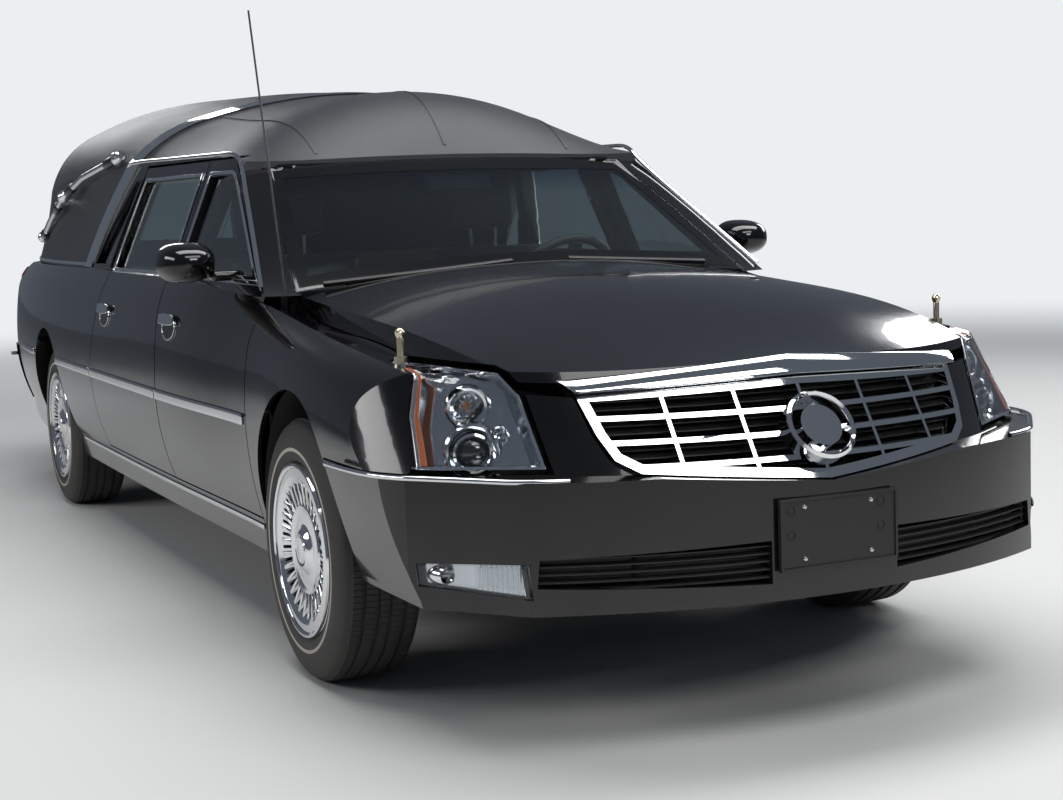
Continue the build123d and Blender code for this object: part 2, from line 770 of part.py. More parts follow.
with BuildPart() as fascia_upper:
    add(lower_outer)
    add(nose_outer, mode=Mode.INTERSECT)
    add(front_prism(both_hands(bumper_face), -1500, -640), mode=Mode.INTERSECT)
    add(nose_inner, mode=Mode.SUBTRACT)
with BuildPart() as fascia_lower:
    add(lower_outer)
    add(bumper_volume(0), mode=Mode.INTERSECT)
    add(side_prism(bumper_run, -1100), mode=Mode.INTERSECT)
with BuildPart() as fascia_hollow:
    add(bumper_volume(fascia_wall))
    add(fascia_inner, mode=Mode.INTERSECT)
with BuildPart() as fascia_mouth:
    add(nose_inner)
    add(fascia_inner, mode=Mode.INTERSECT)
    mouth_run = [(-1500, bumper_top_z - fascia_wall - 1), (-200, bumper_top_z - fascia_wall - 1)]
    add(side_prism(mouth_run + [(-200, 700), (-1500, 700)], -1100), mode=Mode.INTERSECT)
with BuildPart() as fascia_foot:
    with BuildSketch(Plane.XY.offset(bumper_bottom_z - 60)):
        add(plan_face(0, bumper_plan, fascia_wall + bumper_lip_depth))
    extrude(amount=120)
with BuildPart() as front_bumper:
    add(fascia_lower.part)
    add(fascia_hollow.part, mode=Mode.SUBTRACT)
    add(fascia_mouth.part, mode=Mode.SUBTRACT)
    add(fascia_foot.part, mode=Mode.SUBTRACT)
    add(fascia_upper.part)
    add(front_prism(both_hands(grille_outline), -1500, -500), mode=Mode.SUBTRACT)
    add(front_pair(lower_grille_outline), mode=Mode.SUBTRACT)
    add(front_pair(fog_outline), mode=Mode.SUBTRACT)
    add(front_arch, mode=Mode.SUBTRACT)

# Headlamps and fog lamps
with BuildPart() as headlamps:
    add(lower_outer)
    add(nose_outer, mode=Mode.INTERSECT)
    add(front_pair(lamp_outline, -1500, -420), mode=Mode.INTERSECT)
    add(nose_volume(lamp_depth), mode=Mode.SUBTRACT)
with BuildPart() as fog_lamps:
    add(bumper_volume(4))
    add(front_pair(fog_outline, -1500, -600), mode=Mode.INTERSECT)
    add(bumper_volume(50), mode=Mode.SUBTRACT)

# Hood: the top between its cut lines, back to an arched rear edge
hood_plan_plane = Plane.XY.offset(600)
with BuildPart() as hood_plan:
    with BuildSketch(hood_plan_plane):
        with BuildLine():
            left = (hood_half_width, place(hood_rear_corner))
            right = (-hood_half_width, place(hood_rear_corner))
            ThreePointArc(left, (0, place(hood_rear_centre)), right)
            Polyline(right, (-hood_half_width, place(-1300)), (hood_half_width, place(-1300)), left)
        make_face()
    extrude(amount=600)
hood_front = [(0, 846), (560, 830), (612, 820), (642, 872), (800, 886), (800, 1200), (0, 1200)]
with BuildPart() as hood:
    add(lower_outer)
    add(nose_outer, mode=Mode.INTERSECT)
    add(hood_plan.part, mode=Mode.INTERSECT)
    add(lower_volume(hood_wall), mode=Mode.SUBTRACT)
    add(front_prism(both_hands(hood_front), -1500, 600), mode=Mode.INTERSECT)

# Fender of the left side: from the bumper and the lamp to the door, over the arch
fender_run = [(-1400, bumper_top_z + panel_gap), (bumper_arch_y + panel_gap, bumper_top_z + panel_gap)]
fender_run += [(bumper_arch_y + panel_gap, underside_z + 10), (front_door_back - panel_gap, underside_z + 10)]
fender_run += [(front_door_back - panel_gap, 1100), (-1400, 1100)]
fender_inner_x = hood_half_width + panel_gap
fender_edge_run = [(front_door_back - 56, 200), (front_door_back, 200)]
fender_edge_run += [(front_door_back, 1100), (front_door_back - 56, 1100)]
with BuildPart() as fender_left:
    add(lower_outer)
    add(nose_outer, mode=Mode.INTERSECT)
    add(side_prism(fender_run, fender_inner_x), mode=Mode.INTERSECT)
    add(fender_inner & nose_volume(fender_wall), mode=Mode.SUBTRACT)
    add(door_step_core & side_prism(fender_edge_run), mode=Mode.SUBTRACT)
    add(front_pair([(x, z + 4) for x, z in lamp_outline], -1500, -420), mode=Mode.SUBTRACT)
    add(front_prism([(500, 600), (880, 600), (846, 660), (700, 660)], -1500, -500), mode=Mode.SUBTRACT)
    add(front_arch, mode=Mode.SUBTRACT)

# Cowl: the panel from the hood's rear edge on under the windshield
cowl_wall = 30
glass_room = 2
with BuildPart() as hood_gap_region:
    with BuildSketch(hood_plan_plane):
        with BuildLine():
            left = (hood_half_width, place(hood_rear_corner) + panel_gap)
            right = (-hood_half_width, place(hood_rear_corner) + panel_gap)
            ThreePointArc(left, (0, place(hood_rear_centre) + panel_gap), right)
            Polyline(right, (-hood_half_width, place(-1300)), (hood_half_width, place(-1300)), left)
        make_face()
    extrude(amount=600)
with BuildPart() as glass_slot:
    add(glass_layer(-40, 2 * glass_room + glass_thickness))
    add(windshield_outline(glass_room), mode=Mode.INTERSECT)
cowl_run = [(200, 700), (560, 700), (560, 1100), (200, 1100)]
cowl_under = lower_volume(cowl_wall)
with BuildPart() as cowl:
    add(lower_outer)
    add(side_prism(cowl_run, -cowl_side_x, cowl_side_x), mode=Mode.INTERSECT)
    add(hood_gap_region.part, mode=Mode.SUBTRACT)
    add(cowl_under, mode=Mode.SUBTRACT)
    add(glass_slot.part, mode=Mode.SUBTRACT)

# The pillars' feet stand on the cowl and leave room behind the hood
with BuildPart() as side_frame:
    add(side_frame_left.part)
    add(cowl.part, mode=Mode.SUBTRACT)
    add(hood_gap_region.part, mode=Mode.SUBTRACT)

# Grille: a bowed frame with blades and bars, leaning back in its opening
grille_foot = (-1142, 590)
grille_head = (-980, 834)
grille_bow = 1450
grille_depth = 42
frame_edge = 20
blade_pitch = 168
blade_width = 9
bar_width = 11
grille_blades = 5
grille_bars = 3
grille_plane = Plane(
    origin=(0, place(grille_foot[0]), grille_foot[1]),
    x_dir=(1, 0, 0),
    z_dir=(0, grille_head[0] - grille_foot[0], grille_head[1] - grille_foot[1]),
)


def bowed_layer(near, far, start, end, half=540):
    """A bowed layer in the grille's lean, between two depths behind its face."""
    sag = grille_bow - (grille_bow**2 - half**2) ** 0.5
    with BuildPart() as layer:
        with BuildSketch(grille_plane.offset(start)):
            with BuildLine():
                ThreePointArc((-half, near + sag), (0, near), (half, near + sag))
                Line((half, near + sag), (half, far + sag))
                ThreePointArc((half, far + sag), (0, far), (-half, far + sag))
                Line((-half, far + sag), (-half, near + sag))
            make_face()
        extrude(amount=end - start)
    return layer.part


def shrink(outline, by):
    """A front-view outline drawn in by a margin."""
    with BuildSketch() as sketch:
        Polygon(*both_hands(outline), align=None)
        offset(amount=-by)
    return sketch.sketch


grille_face = shrink(grille_outline, 3)
grille_mouth = shrink(grille_outline, 3 + frame_edge)
with BuildPart() as grille_pattern:
    with BuildSketch(Plane.XZ.offset(-place(-700))):
        add(grille_face)
        add(grille_mouth, mode=Mode.SUBTRACT)
        with Locations((0, 700)):
            with GridLocations(blade_pitch, 1, grille_blades, 1):
                Rectangle(blade_width, 300)
            with GridLocations(1, 52, 1, grille_bars):
                Rectangle(1040, bar_width)
        add(grille_face, mode=Mode.INTERSECT)
    extrude(amount=700)
with BuildPart() as grille:
    add(grille_pattern.part)
    add(bowed_layer(0, grille_depth, -60, 360), mode=Mode.INTERSECT)
ring_plane = Plane(
    origin=(0, place(-1084), 706),
    x_dir=(1, 0, 0),
    z_dir=(0, grille_foot[1] - grille_head[1], grille_head[0] - grille_foot[0]),
)
with BuildPart() as grille_ring:
    with BuildSketch(ring_plane):
        Circle(88)
        Circle(74, mode=Mode.SUBTRACT)
        Circle(52)
    extrude(amount=18, both=True)
with BuildPart() as grille_cap:
    add(bowed_layer(-10, 24, 0, 400, 524))
    cap_outline = [(0, 828), (521, 812), (540, 828), (0, 846)]
    add(front_prism(both_hands(cap_outline), -1500, -700), mode=Mode.INTERSECT)


# Underbody, mechanical parts and interior
apron_x = 470
apron_wall = 10
tower_z = 862
rail_width = 76
rail_foot_z = 392
kick_back = 2560
toe_back = 414
firewall_top_z = 896
rear_floor_z = 440
floor_wall = 28
floor_half = 700
rear_floor_half = 600
liner_wall = 6
deck_z = 620
pivot_foot = Vector(722, front_axle_y, 176)
pivot_head = Vector(598, front_axle_y, tower_z)
pin_radius = 12
pin_fit = 0.3
beam_z = (490, 556)
with BuildPart() as beam:
    add(block((-600, 600), (-1150, -1010), beam_z))
    add(bumper_volume(fascia_wall), mode=Mode.INTERSECT)
    add(block((-460, 460), (-1046, -1010), (rail_foot_z, beam_z[1])))
    for hand in (1, -1):
        inner, outer = sorted((hand * 260, hand * 320))
        strut = block((inner, outer), (-1140, -1030), (beam_z[1], 690))
        add(strut - bowed_layer(-200, grille_depth, -60, 360))
        inner, outer = sorted((hand * 552, hand * 690))
        add(block((inner, outer), (-960, -764), (660, 720)) & nose_volume(lamp_depth))
with BuildPart() as firewall_top:
    add(block((-330, 330), (firewall_back, firewall_back + 24), (890, 1100)))
    add(cowl_under, mode=Mode.INTERSECT)
with BuildPart() as underbody:
    floor_top_z = underside_z + floor_wall
    add(block((-apron_x, apron_x), (firewall_back, toe_back), (underside_z, floor_top_z)))
    add(block((-floor_half, floor_half), (toe_back, kick_back), (underside_z, floor_top_z)))
    add(block((-floor_half, floor_half), (kick_back, kick_back + floor_wall), (underside_z, rear_floor_z)))
    add(block((-rear_floor_half, rear_floor_half), (kick_back, 4950), (rear_floor_z - floor_wall, rear_floor_z)))
    add(block((-apron_x, apron_x), (firewall_back, firewall_back + 24), (underside_z, firewall_top_z)))
    for hand in (1, -1):
        inner, outer = sorted((hand * (apron_x - apron_wall), hand * floor_half))
        add(block((inner, outer), (toe_back, toe_back + 24), (underside_z, firewall_top_z)))
        inner, outer = sorted((hand * (apron_x - apron_wall), hand * apron_x))
        add(block((inner, outer), (firewall_back, toe_back), (underside_z, firewall_top_z)))
        inner, outer = sorted((hand * (apron_x - apron_wall), hand * apron_x))
        add(block((inner, outer), (-780, firewall_back), (rail_foot_z, 780)))
        add(block((inner, outer), (-120, firewall_back), (780, tower_z)))
        inner, outer = sorted((hand * (apron_x - rail_width), hand * apron_x))
        add(block((inner, outer), (-1010, firewall_back), (rail_foot_z, rail_foot_z + 84)))
        inner, outer = sorted((hand * (apron_x - apron_wall), hand * 704))
        add(block((inner, outer), (-110, 110), (tower_z - 12, tower_z)))
        inner, outer = sorted((hand * rear_floor_half, hand * (rear_floor_half - liner_wall)))
        wall_span = (wheelbase - arch_radius, wheelbase + arch_radius)
        add(block((inner, outer), wall_span, (rear_floor_z, deck_z - 30)))
    add(block((-560, 560), (-800, -764), (rail_foot_z - 40, 760)))
    add(beam.part)
    add(firewall_top.part)
    for hand in (1, -1):
        bore_head = (hand * pivot_head.X, pivot_head.Y, pivot_head.Z)
        bore_foot = (hand * pivot_foot.X, pivot_foot.Y, pivot_foot.Z)
        lean_way = Vector(*bore_head) - Vector(*bore_foot)
        start = Vector(*bore_head) - lean_way * 0.05
        add(rod(start, start + lean_way * 0.1, pin_radius + pin_fit), mode=Mode.SUBTRACT)


def arch_liner(axle_y, inner_x, outer_x, radius):
    """A wheel arch liner: the upper part of a drum round one wheel."""
    centre_z = tyre_radius + arch_lift
    with BuildPart() as liner:
        with BuildSketch(Plane.YZ.offset(inner_x)):
            with Locations((axle_y, centre_z)):
                Circle(radius + liner_wall)
                Circle(radius, mode=Mode.SUBTRACT)
            with Locations((axle_y, centre_z - 40 - radius)):
                Rectangle(3 * radius, 2 * radius, mode=Mode.SUBTRACT)
        extrude(amount=outer_x - inner_x)
    return liner.part


front_liner_left = arch_liner(front_axle_y, 696, 880, arch_radius + 3)
rear_liner_left = arch_liner(rear_axle_y, rear_floor_half - liner_wall, 848, arch_radius + 3)
with BuildPart() as wheelhouses:
    add(front_liner_left)
    add(fender_inner, mode=Mode.INTERSECT)
    add(front_bumper.part, mode=Mode.SUBTRACT)
    add(rear_liner_left & lower_inner)
    mirror(about=Plane.YZ)

# Wheels and tyres, made for the left side about the car's X
wheel_x = track / 2
cover_face_x = 92
cover_slots = 30
slot_middle = 148
slot_length = 62
slot_width = 9
bead_fit = 0.3


def wheel_plane(axle_y, hand):
    """A wheel's plane: its local X is the radius, its local Y points outwards."""
    return Plane(origin=(hand * wheel_x, axle_y, tyre_radius), x_dir=(0, 0, 1), z_dir=(0, hand, 0))


def tyre(axle_y, hand):
    half = tyre_width / 2
    bead = rim_radius + bead_fit
    with BuildPart() as ring:
        with BuildSketch(wheel_plane(axle_y, hand)):
            with BuildLine():
                Polyline((bead, -half + 30), (bead, half - 30))
                for side in (1, -1):
                    Line((bead, side * (half - 30)), (bead + 14, side * (half - 15)))
                    ThreePointArc(
                        (bead + 14, side * (half - 15)),
                        (bead + 62, side * half),
                        (tyre_radius - 30, side * (half - 9)),
                    )
                    ThreePointArc(
                        (tyre_radius - 30, side * (half - 9)),
                        (tyre_radius - 11, side * (half - 18)),
                        (tyre_radius - 2, side * (half - 36)),
                    )
                ThreePointArc(
                    (tyre_radius - 2, half - 36), (tyre_radius, 0), (tyre_radius - 2, 36 - half)
                )
            make_face()
        axis = Axis((hand * wheel_x, axle_y, tyre_radius), (1, 0, 0))
        revolve(axis=axis)
    return ring.part


def wheel(axle_y, hand):
    half = tyre_width / 2 - 22
    centre = (hand * wheel_x, axle_y, tyre_radius)
    with BuildPart() as disc:
        with BuildSketch(wheel_plane(axle_y, hand)):
            Polygon(
                (rim_radius, -half),
                (rim_radius, half),
                (rim_radius - 12, half),
                (rim_radius - 16, 30),
                (hub_bore_radius, 14),
                (hub_bore_radius, 2),
                (rim_radius - 26, 16),
                (rim_radius - 14, -half),
                align=None,
            )
            Polygon(
                (rim_radius - 2, half - 2),
                (cover_radius, half + 9),
                (cover_radius - 4, half + 15),
                (cover_radius - 34, half + 18),
                (150, cover_face_x - 2),
                (70, cover_face_x + 4),
                (0, cover_face_x + 10),
                (0, cover_face_x),
                (70, cover_face_x - 6),
                (150, cover_face_x - 12),
                (cover_radius - 36, half + 7),
                (rim_radius - 12, half - 2),
                align=None,
            )
        revolve(axis=Axis(centre, (1, 0, 0)))
        with BuildSketch(Plane(origin=centre, x_dir=(0, 0, 1), z_dir=(hand, 0, 0)).offset(cover_face_x - 30)):
            with PolarLocations(0, cover_slots):
                with Locations((slot_middle, 0)):
                    SlotOverall(slot_length, slot_width)
        extrude(amount=60, mode=Mode.SUBTRACT)
    return disc.part


brake_radius = 150


# Front knuckle, made for the left side about its steering axis
def along_pivot(height):
    """The steering axis's point at a height above the ground."""
    share = (height - pivot_foot.Z) / (pivot_head.Z - pivot_foot.Z)
    return pivot_foot + (pivot_head - pivot_foot) * share


with BuildPart() as knuckle_left:
    add(rod(pivot_foot, along_pivot(tower_z - 1), pin_radius))
    add(rod(along_pivot(222), along_pivot(262), 34))
    add(rod(along_pivot(420), along_pivot(704), 23))
    add(rod(along_pivot(704), along_pivot(826), 56))
    add(block((642, 724), (-44, 44), (226, 470)))
    add(block((652, 700), (30, 150), (276, 300)))
    hub_start = (700, front_axle_y, tyre_radius)
    add(rod(hub_start, (wheel_x + 1, front_axle_y, tyre_radius), hub_bore_radius - pin_fit))

# Brake disc and hub of each wheel sit inboard of the rim's disc
def brake(axle_y, hand):
    """The brake disc with its hub, open at the middle for the stub axle."""
    with BuildPart() as disc:
        with BuildSketch(wheel_plane(axle_y, hand)):
            Polygon(
                (hub_bore_radius, -38),
                (brake_radius, -38),
                (brake_radius, -18),
                (70, -18),
                (70, 6),
                (hub_bore_radius, 6),
                align=None,
            )
        revolve(axis=Axis((hand * wheel_x, axle_y, tyre_radius), (1, 0, 0)))
    return disc.part


# Front suspension: subframe, rack and lower arms; its shafts stop short of the knuckles
arm_eye_radius = 30
rack_back = 150
with BuildPart() as front_arm:
    with BuildSketch(Plane.XY.offset(184)):
        Polygon(
            (pivot_foot.X + 8, front_axle_y - 20),
            (pivot_foot.X + 8, front_axle_y + 20),
            (620, front_axle_y + 40),
            (420, front_axle_y + 250),
            (420, front_axle_y + 190),
            (560, front_axle_y),
            (420, front_axle_y - 90),
            (420, front_axle_y - 150),
            (620, front_axle_y - 40),
            align=None,
        )
    extrude(amount=24)
    add(rod(along_pivot(182), along_pivot(208), arm_eye_radius))
    add(rod(along_pivot(140), along_pivot(300), pin_radius + pin_fit), mode=Mode.SUBTRACT)
    add(rod((330, front_axle_y, tyre_radius), (606, front_axle_y, tyre_radius), 16))
    add(rod((540, front_axle_y, tyre_radius), (606, front_axle_y, tyre_radius), 36))
with BuildPart() as front_suspension:
    add(block((-430, -360), (-180, 300), (180, 262)))
    add(block((360, 430), (-180, 300), (180, 262)))
    add(block((-430, 430), (230, 300), (180, 262)))
    add(block((-430, 430), (-180, -120), (180, 262)))
    add(block((-430, -394), (-180, -120), (262, rail_foot_z)))
    add(block((394, 430), (-180, -120), (262, rail_foot_z)))
    add(block((-430, -394), (230, 300), (262, rail_foot_z)))
    add(block((394, 430), (230, 300), (262, rail_foot_z)))
    add(rod((-560, place(rack_back), 300), (560, place(rack_back), 300), 22))
    add(block((-340, 340), (130, 170), (262, 296)))
    add(block((-40, 40), (150, 240), (200, 262)))
    add(front_arm.part)
    add(front_arm.part.mirror(Plane.YZ))

# Engine with its gearbox: one plain block on the subframe
with BuildPart() as engine:
    add(block((-330, 330), (-430, 120), (262 + seat_gap, 790)))
    chamfer(engine.edges().filter_by(Axis.X), 60)

# Rear suspension: crossmember, trailing arms, stub axles and dampers
with BuildPart() as rear_arm:
    add(block((470, 560), (2980, 3560), (300, 360)))
    add(block((560, 690), (3436, 3524), (270, 400)))
    stub_start = (650, rear_axle_y, tyre_radius)
    add(rod(stub_start, (wheel_x + 1, rear_axle_y, tyre_radius), hub_bore_radius - pin_fit))
with BuildPart() as rear_suspension:
    add(rear_arm.part)
    add(rear_arm.part.mirror(Plane.YZ))
    add(block((-470, 470), (3300, 3400), (300, 372)))
    for hand in (1, -1):
        add(rod((hand * 516, place(3500), 350), (hand * 516, place(3500), rear_floor_z - floor_wall), 36))
        add(rod((hand * 520, place(3040), 330), (hand * 520, place(3040), rear_floor_z - floor_wall), 24))

# Fuel tank under the rear floor, and the exhaust
with BuildPart() as fuel_tank:
    add(block((-460, 460), (2610, 2950), (236, rear_floor_z - floor_wall)))
    fillet(fuel_tank.edges().filter_by(Axis.X).group_by(Axis.Z)[0], 40)
exhaust_radius = 28
exhaust_z = 226
with BuildPart() as exhaust:
    with BuildLine() as exhaust_route:
        FilletPolyline(
            (-120, place(306), exhaust_z),
            (-120, place(900), exhaust_z),
            (-300, place(1300), exhaust_z),
            (-300, place(2200), exhaust_z),
            (-520, place(2520), exhaust_z),
            (-520, place(2760), exhaust_z),
            radius=120,
        )
    with BuildSketch(exhaust_route.line ^ 0):
        Circle(exhaust_radius)
    sweep()
    with BuildSketch(cross_plane(1500)):
        with Locations((-300, exhaust_z - 12)):
            Ellipse(110, 40)
    extrude(amount=-560)
    for back in (1000, 2150):
        add(block((-310, -290) if back > 1300 else (-190, -150), (back, back + 20), (exhaust_z, underside_z)))

# Dashboard, steering wheel, seats, partition and casket deck
dash_outline = [(470, 700), (470, 930), (540, 985), (790, 1000), (880, 950), (900, 860), (820, 700)]
with BuildPart() as dashboard:
    add(side_prism(dash_outline, seat_gap - cowl_side_x, cowl_side_x - seat_gap))
    add(glass_layer(-300, 30), mode=Mode.SUBTRACT)
driver_x = 372
wheel_tilt = 24
steering_radius = 188
column_radius = 20
column_foot = Vector(driver_x, place(866), 890)
column_axis = Vector(0, cos(radians(wheel_tilt)), sin(radians(wheel_tilt)))
steering_centre = column_foot + column_axis * 130
rim_plane = Plane(origin=steering_centre, x_dir=(1, 0, 0), z_dir=column_axis)
with BuildPart() as steering_wheel:
    with BuildSketch(Plane(origin=steering_centre, x_dir=(1, 0, 0), z_dir=rim_plane.y_dir)):
        with Locations((steering_radius, 0)):
            Circle(15)
    revolve(axis=Axis(steering_centre, column_axis))
    with BuildSketch(rim_plane.offset(-22)):
        Circle(56)
        with Locations((0, -10)):
            Rectangle(2 * steering_radius - 20, 44)
        with Locations((0, -steering_radius / 2)):
            Rectangle(40, steering_radius - 16)
    extrude(amount=20)
    add(rod(column_foot - column_axis * 40, steering_centre - column_axis * 10, column_radius))
with BuildPart() as column_bore:
    add(rod(column_foot - column_axis * 60, column_foot + column_axis * 60, column_radius + seat_gap))

seat_x = 372
seat_half = 260
with BuildPart() as front_seats:
    for hand in (1, -1):
        inner, outer = sorted((hand * (seat_x - seat_half), hand * (seat_x + seat_half)))
        with BuildSketch(Plane.YZ.offset(inner)):
            Polygon(
                (place(1010), 420),
                (place(1040), 540),
                (place(1480), 520),
                (place(1640), 1130),
                (place(1730), 1130),
                (place(1640), 420),
                align=None,
            )
        extrude(amount=outer - inner)
    fillet(front_seats.edges().filter_by(Axis.X), 30)
    for hand in (1, -1):
        inner, outer = sorted((hand * (seat_x - 130), hand * (seat_x + 130)))
        add(block((inner, outer), (1640, 1730), (1150, 1300)))
        add(block((hand * seat_x - 40, hand * seat_x + 40), (1670, 1700), (1100, 1160)))
        add(block((inner, outer), (1120, 1560), (underside_z + floor_wall, 440)))

with BuildPart() as casket_deck:
    add(block((-560, 560), (1960, 4940), (deck_z - 26, deck_z)))
    for hand in (1, -1):
        inner, outer = sorted((hand * 520, hand * 560))
        add(block((inner, outer), (1960, kick_back), (underside_z + floor_wall, deck_z - 26)))
        add(block((inner, outer), (kick_back, 4940), (rear_floor_z, deck_z - 26)))
    add(block((-700, 700), (1900, 1930), (underside_z + floor_wall, 1080)))
    add(block((-560, 560), (1930, 1960), (deck_z - 80, deck_z)))
    for back in (2150, 2700, 3250, 3800, 4350, 4850):
        start = (-240, place(back), deck_z - 1)
        add(rod(start, (240, place(back), deck_z - 1), 14))

# Rear bumper and tail lamps stand off the body's skin
rear_bumper_depth = 74
with BuildPart() as rear_bumper:
    add(lower_volume(-8))
    add(tail_volume(-rear_bumper_depth), mode=Mode.INTERSECT)
    add(side_prism([(4420, 340), (5400, 340), (5400, 620), (4420, 620)], -1100), mode=Mode.INTERSECT)
    add(tail_outer, mode=Mode.SUBTRACT)
lamp_stand = 14
with BuildPart() as tail_lamps:
    add(lower_volume(-4))
    add(tail_volume(-lamp_stand), mode=Mode.INTERSECT)
    add(front_pair([(600, 690), (840, 690), (800, 1010), (600, 1010)], 4700, 5400), mode=Mode.INTERSECT)
    add(tail_outer, mode=Mode.SUBTRACT)

# Mirror of the left side on its arm from the door
with BuildPart() as mirror_left:
    with BuildSketch(Plane.XZ.offset(-place(846))):
        with Locations((964, 1098)):
            RectangleRounded(176, 122, 44)
    extrude(amount=34)
    extrude(mirror_left.faces().sort_by(Axis.Y)[0], amount=92, taper=24)
    fillet(mirror_left.faces().sort_by(Axis.Y)[0].edges(), 18)
    add(block((790, 900), (752, 812), (1042, 1070)))
    add(pillar_outer, mode=Mode.SUBTRACT)
    add(lower_outer, mode=Mode.SUBTRACT)

# Landau bars on the sides, and the fittings on the fenders
bar_radius = 14
with BuildPart() as landau_left:
    with BuildLine() as bar_route:
        FilletPolyline(
            (804, place(2440), 1466),
            (868, place(2820), 1404),
            (898, place(3120), 1330),
            (880, place(3560), 1230),
            (842, place(3960), 1166),
            radius=200,
        )
    with BuildSketch(bar_route.line ^ 0):
        Circle(bar_radius)
    sweep()
    for end in (bar_route.line @ 0.04, bar_route.line @ 0.5, bar_route.line @ 0.96):
        add(rod(end, (end.X - 60, end.Y, end.Z), 12))
    add(coach_outer, mode=Mode.SUBTRACT)
with BuildPart() as fittings:
    for hand in (1, -1):
        add(rod((hand * 784, place(-493), 850), (hand * 784, place(-493), 936), 8))
        add(rod((hand * 784, place(-493), 850), (hand * 784, place(-493), 886), 16))
    add(rod((-780, place(430), 940), (-780, place(430), 1000), 14))
    add(rod((-780, place(430), 1000), (-760, place(730), 1832), 3))
    add(lower_outer, mode=Mode.SUBTRACT)
with BuildPart() as plate_bracket:
    add(block((-158, 158), (-1163.3, -1157.3), (402, 566)))


def mirrored(shape):
    """The same piece for the car's right side."""
    return shape.mirror(Plane.YZ)


pieces = {
    "underbody": underbody.part + wheelhouses.part,
    "roof": roof.part,
    "roof_band": roof_band.part,
    "hood": hood.part + grille_cap.part,
    "front_bumper": front_bumper.part,
    "grille": grille.part + grille_ring.part,
    "headlamps": headlamps.part,
    "fog_lamps": fog_lamps.part,
    "plate_bracket": plate_bracket.part,
    "windshield": windshield.part,
    "cowl": cowl.part,
    "loading_door": loading_door.part + loading_arms.part,
    "loading_glass": loading_glass.part,
    "rear_bumper": rear_bumper.part,
    "tail_lamps": tail_lamps.part,
    "front_suspension": front_suspension.part,
    "rear_suspension": rear_suspension.part,
    "engine": engine.part,
    "fuel_tank": fuel_tank.part,
    "exhaust": exhaust.part,
    "dashboard": dashboard.part - column_bore.part,
    "steering_wheel": steering_wheel.part,
    "front_seats": front_seats.part,
    "casket_deck": casket_deck.part,
    "landau_bars": landau_left.part + mirrored(landau_left.part),
    "fittings": fittings.part,
}
for name, shape in (
    ("side_frame", side_frame.part),
    ("fender", fender_left.part),
    ("front_door", front_door_left),
    ("rear_door", rear_door_left),
    ("front_glass", front_glass_left),
    ("rear_glass", rear_glass_left),
    ("quarter_glass", quarter_glass_left),
    ("mirror", mirror_left.part),
    ("knuckle", knuckle_left.part),
):
    pieces[name + "_left"] = shape
    pieces[name + "_right"] = mirrored(shape)
pieces["side_frame_left"] = side_frame.part + loading_leaves.part
for corner, axle_y in (("front", front_axle_y), ("rear", rear_axle_y)):
    for side, hand in (("left", 1), ("right", -1)):
        pieces[f"tyre_{corner}_{side}"] = tyre(axle_y, hand)
        pieces[f"wheel_{corner}_{side}"] = wheel(axle_y, hand) + brake(axle_y, hand)

for name, shape in pieces.items():
    shape.label = name
    export_step(shape, f"parts/{name}.step")
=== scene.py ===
import math

import bpy
from mathutils import Matrix, Vector


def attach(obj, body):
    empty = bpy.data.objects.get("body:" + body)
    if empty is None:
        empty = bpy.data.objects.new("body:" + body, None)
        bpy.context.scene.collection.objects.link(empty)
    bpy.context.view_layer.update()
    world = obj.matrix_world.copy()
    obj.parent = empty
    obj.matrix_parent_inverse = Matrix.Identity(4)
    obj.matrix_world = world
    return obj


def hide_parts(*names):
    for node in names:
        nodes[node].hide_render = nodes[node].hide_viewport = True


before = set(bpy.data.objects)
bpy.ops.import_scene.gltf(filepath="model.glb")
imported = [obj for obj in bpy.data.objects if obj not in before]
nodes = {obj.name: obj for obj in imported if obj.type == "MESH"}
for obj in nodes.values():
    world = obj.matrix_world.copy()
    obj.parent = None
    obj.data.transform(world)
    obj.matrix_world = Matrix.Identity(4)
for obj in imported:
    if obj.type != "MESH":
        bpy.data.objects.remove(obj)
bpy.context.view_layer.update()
bpy.ops.object.select_all(action="DESELECT")

# Camera: it stands off the car's right front corner at a person's sitting height, tilted
# a little down and rolled as the photograph is.
camera_place = Vector((-2.2827, -6.5112, 1.2354))
camera_yaw = math.radians(24.524)
camera_pitch = math.radians(6.190)
camera_roll = math.radians(-2.001)
forward = Vector((
    math.sin(camera_yaw) * math.cos(camera_pitch),
    math.cos(camera_yaw) * math.cos(camera_pitch),
    -math.sin(camera_pitch),
))
level_right = Vector((math.cos(camera_yaw), -math.sin(camera_yaw), 0))
level_up = level_right.cross(forward)
camera_right = level_right * math.cos(camera_roll) + level_up * math.sin(camera_roll)
camera_up = level_up * math.cos(camera_roll) - level_right * math.sin(camera_roll)
bpy.ops.object.camera_add(location=camera_place)
camera = bpy.context.object
camera.matrix_world = Matrix((
    (camera_right.x, camera_up.x, -forward.x, camera_place.x),
    (camera_right.y, camera_up.y, -forward.y, camera_place.y),
    (camera_right.z, camera_up.z, -forward.z, camera_place.z),
    (0, 0, 0, 1),
))
camera.data.sensor_width = 36
camera.data.lens = 61.04
bpy.context.scene.camera = camera
bpy.context.scene.view_settings.view_transform = "Standard"


# Studio: a plain pale floor and a pale room that the camera sees, with soft lamps over
# the hood and along both sides. The room lights the car at a low, even level.
def shader_of(material):
    """A material's own shader node."""
    return material.node_tree.nodes["Principled BSDF"]


def new_material(name, color, roughness, metallic=0.0):
    """A named material with its colour, roughness and metal set on the shader."""
    material = bpy.data.materials.new(name)
    material.use_nodes = True
    shader = shader_of(material)
    shader.inputs["Base Color"].default_value = (*color, 1)
    shader.inputs["Roughness"].default_value = roughness
    shader.inputs["Metallic"].default_value = metallic
    return material


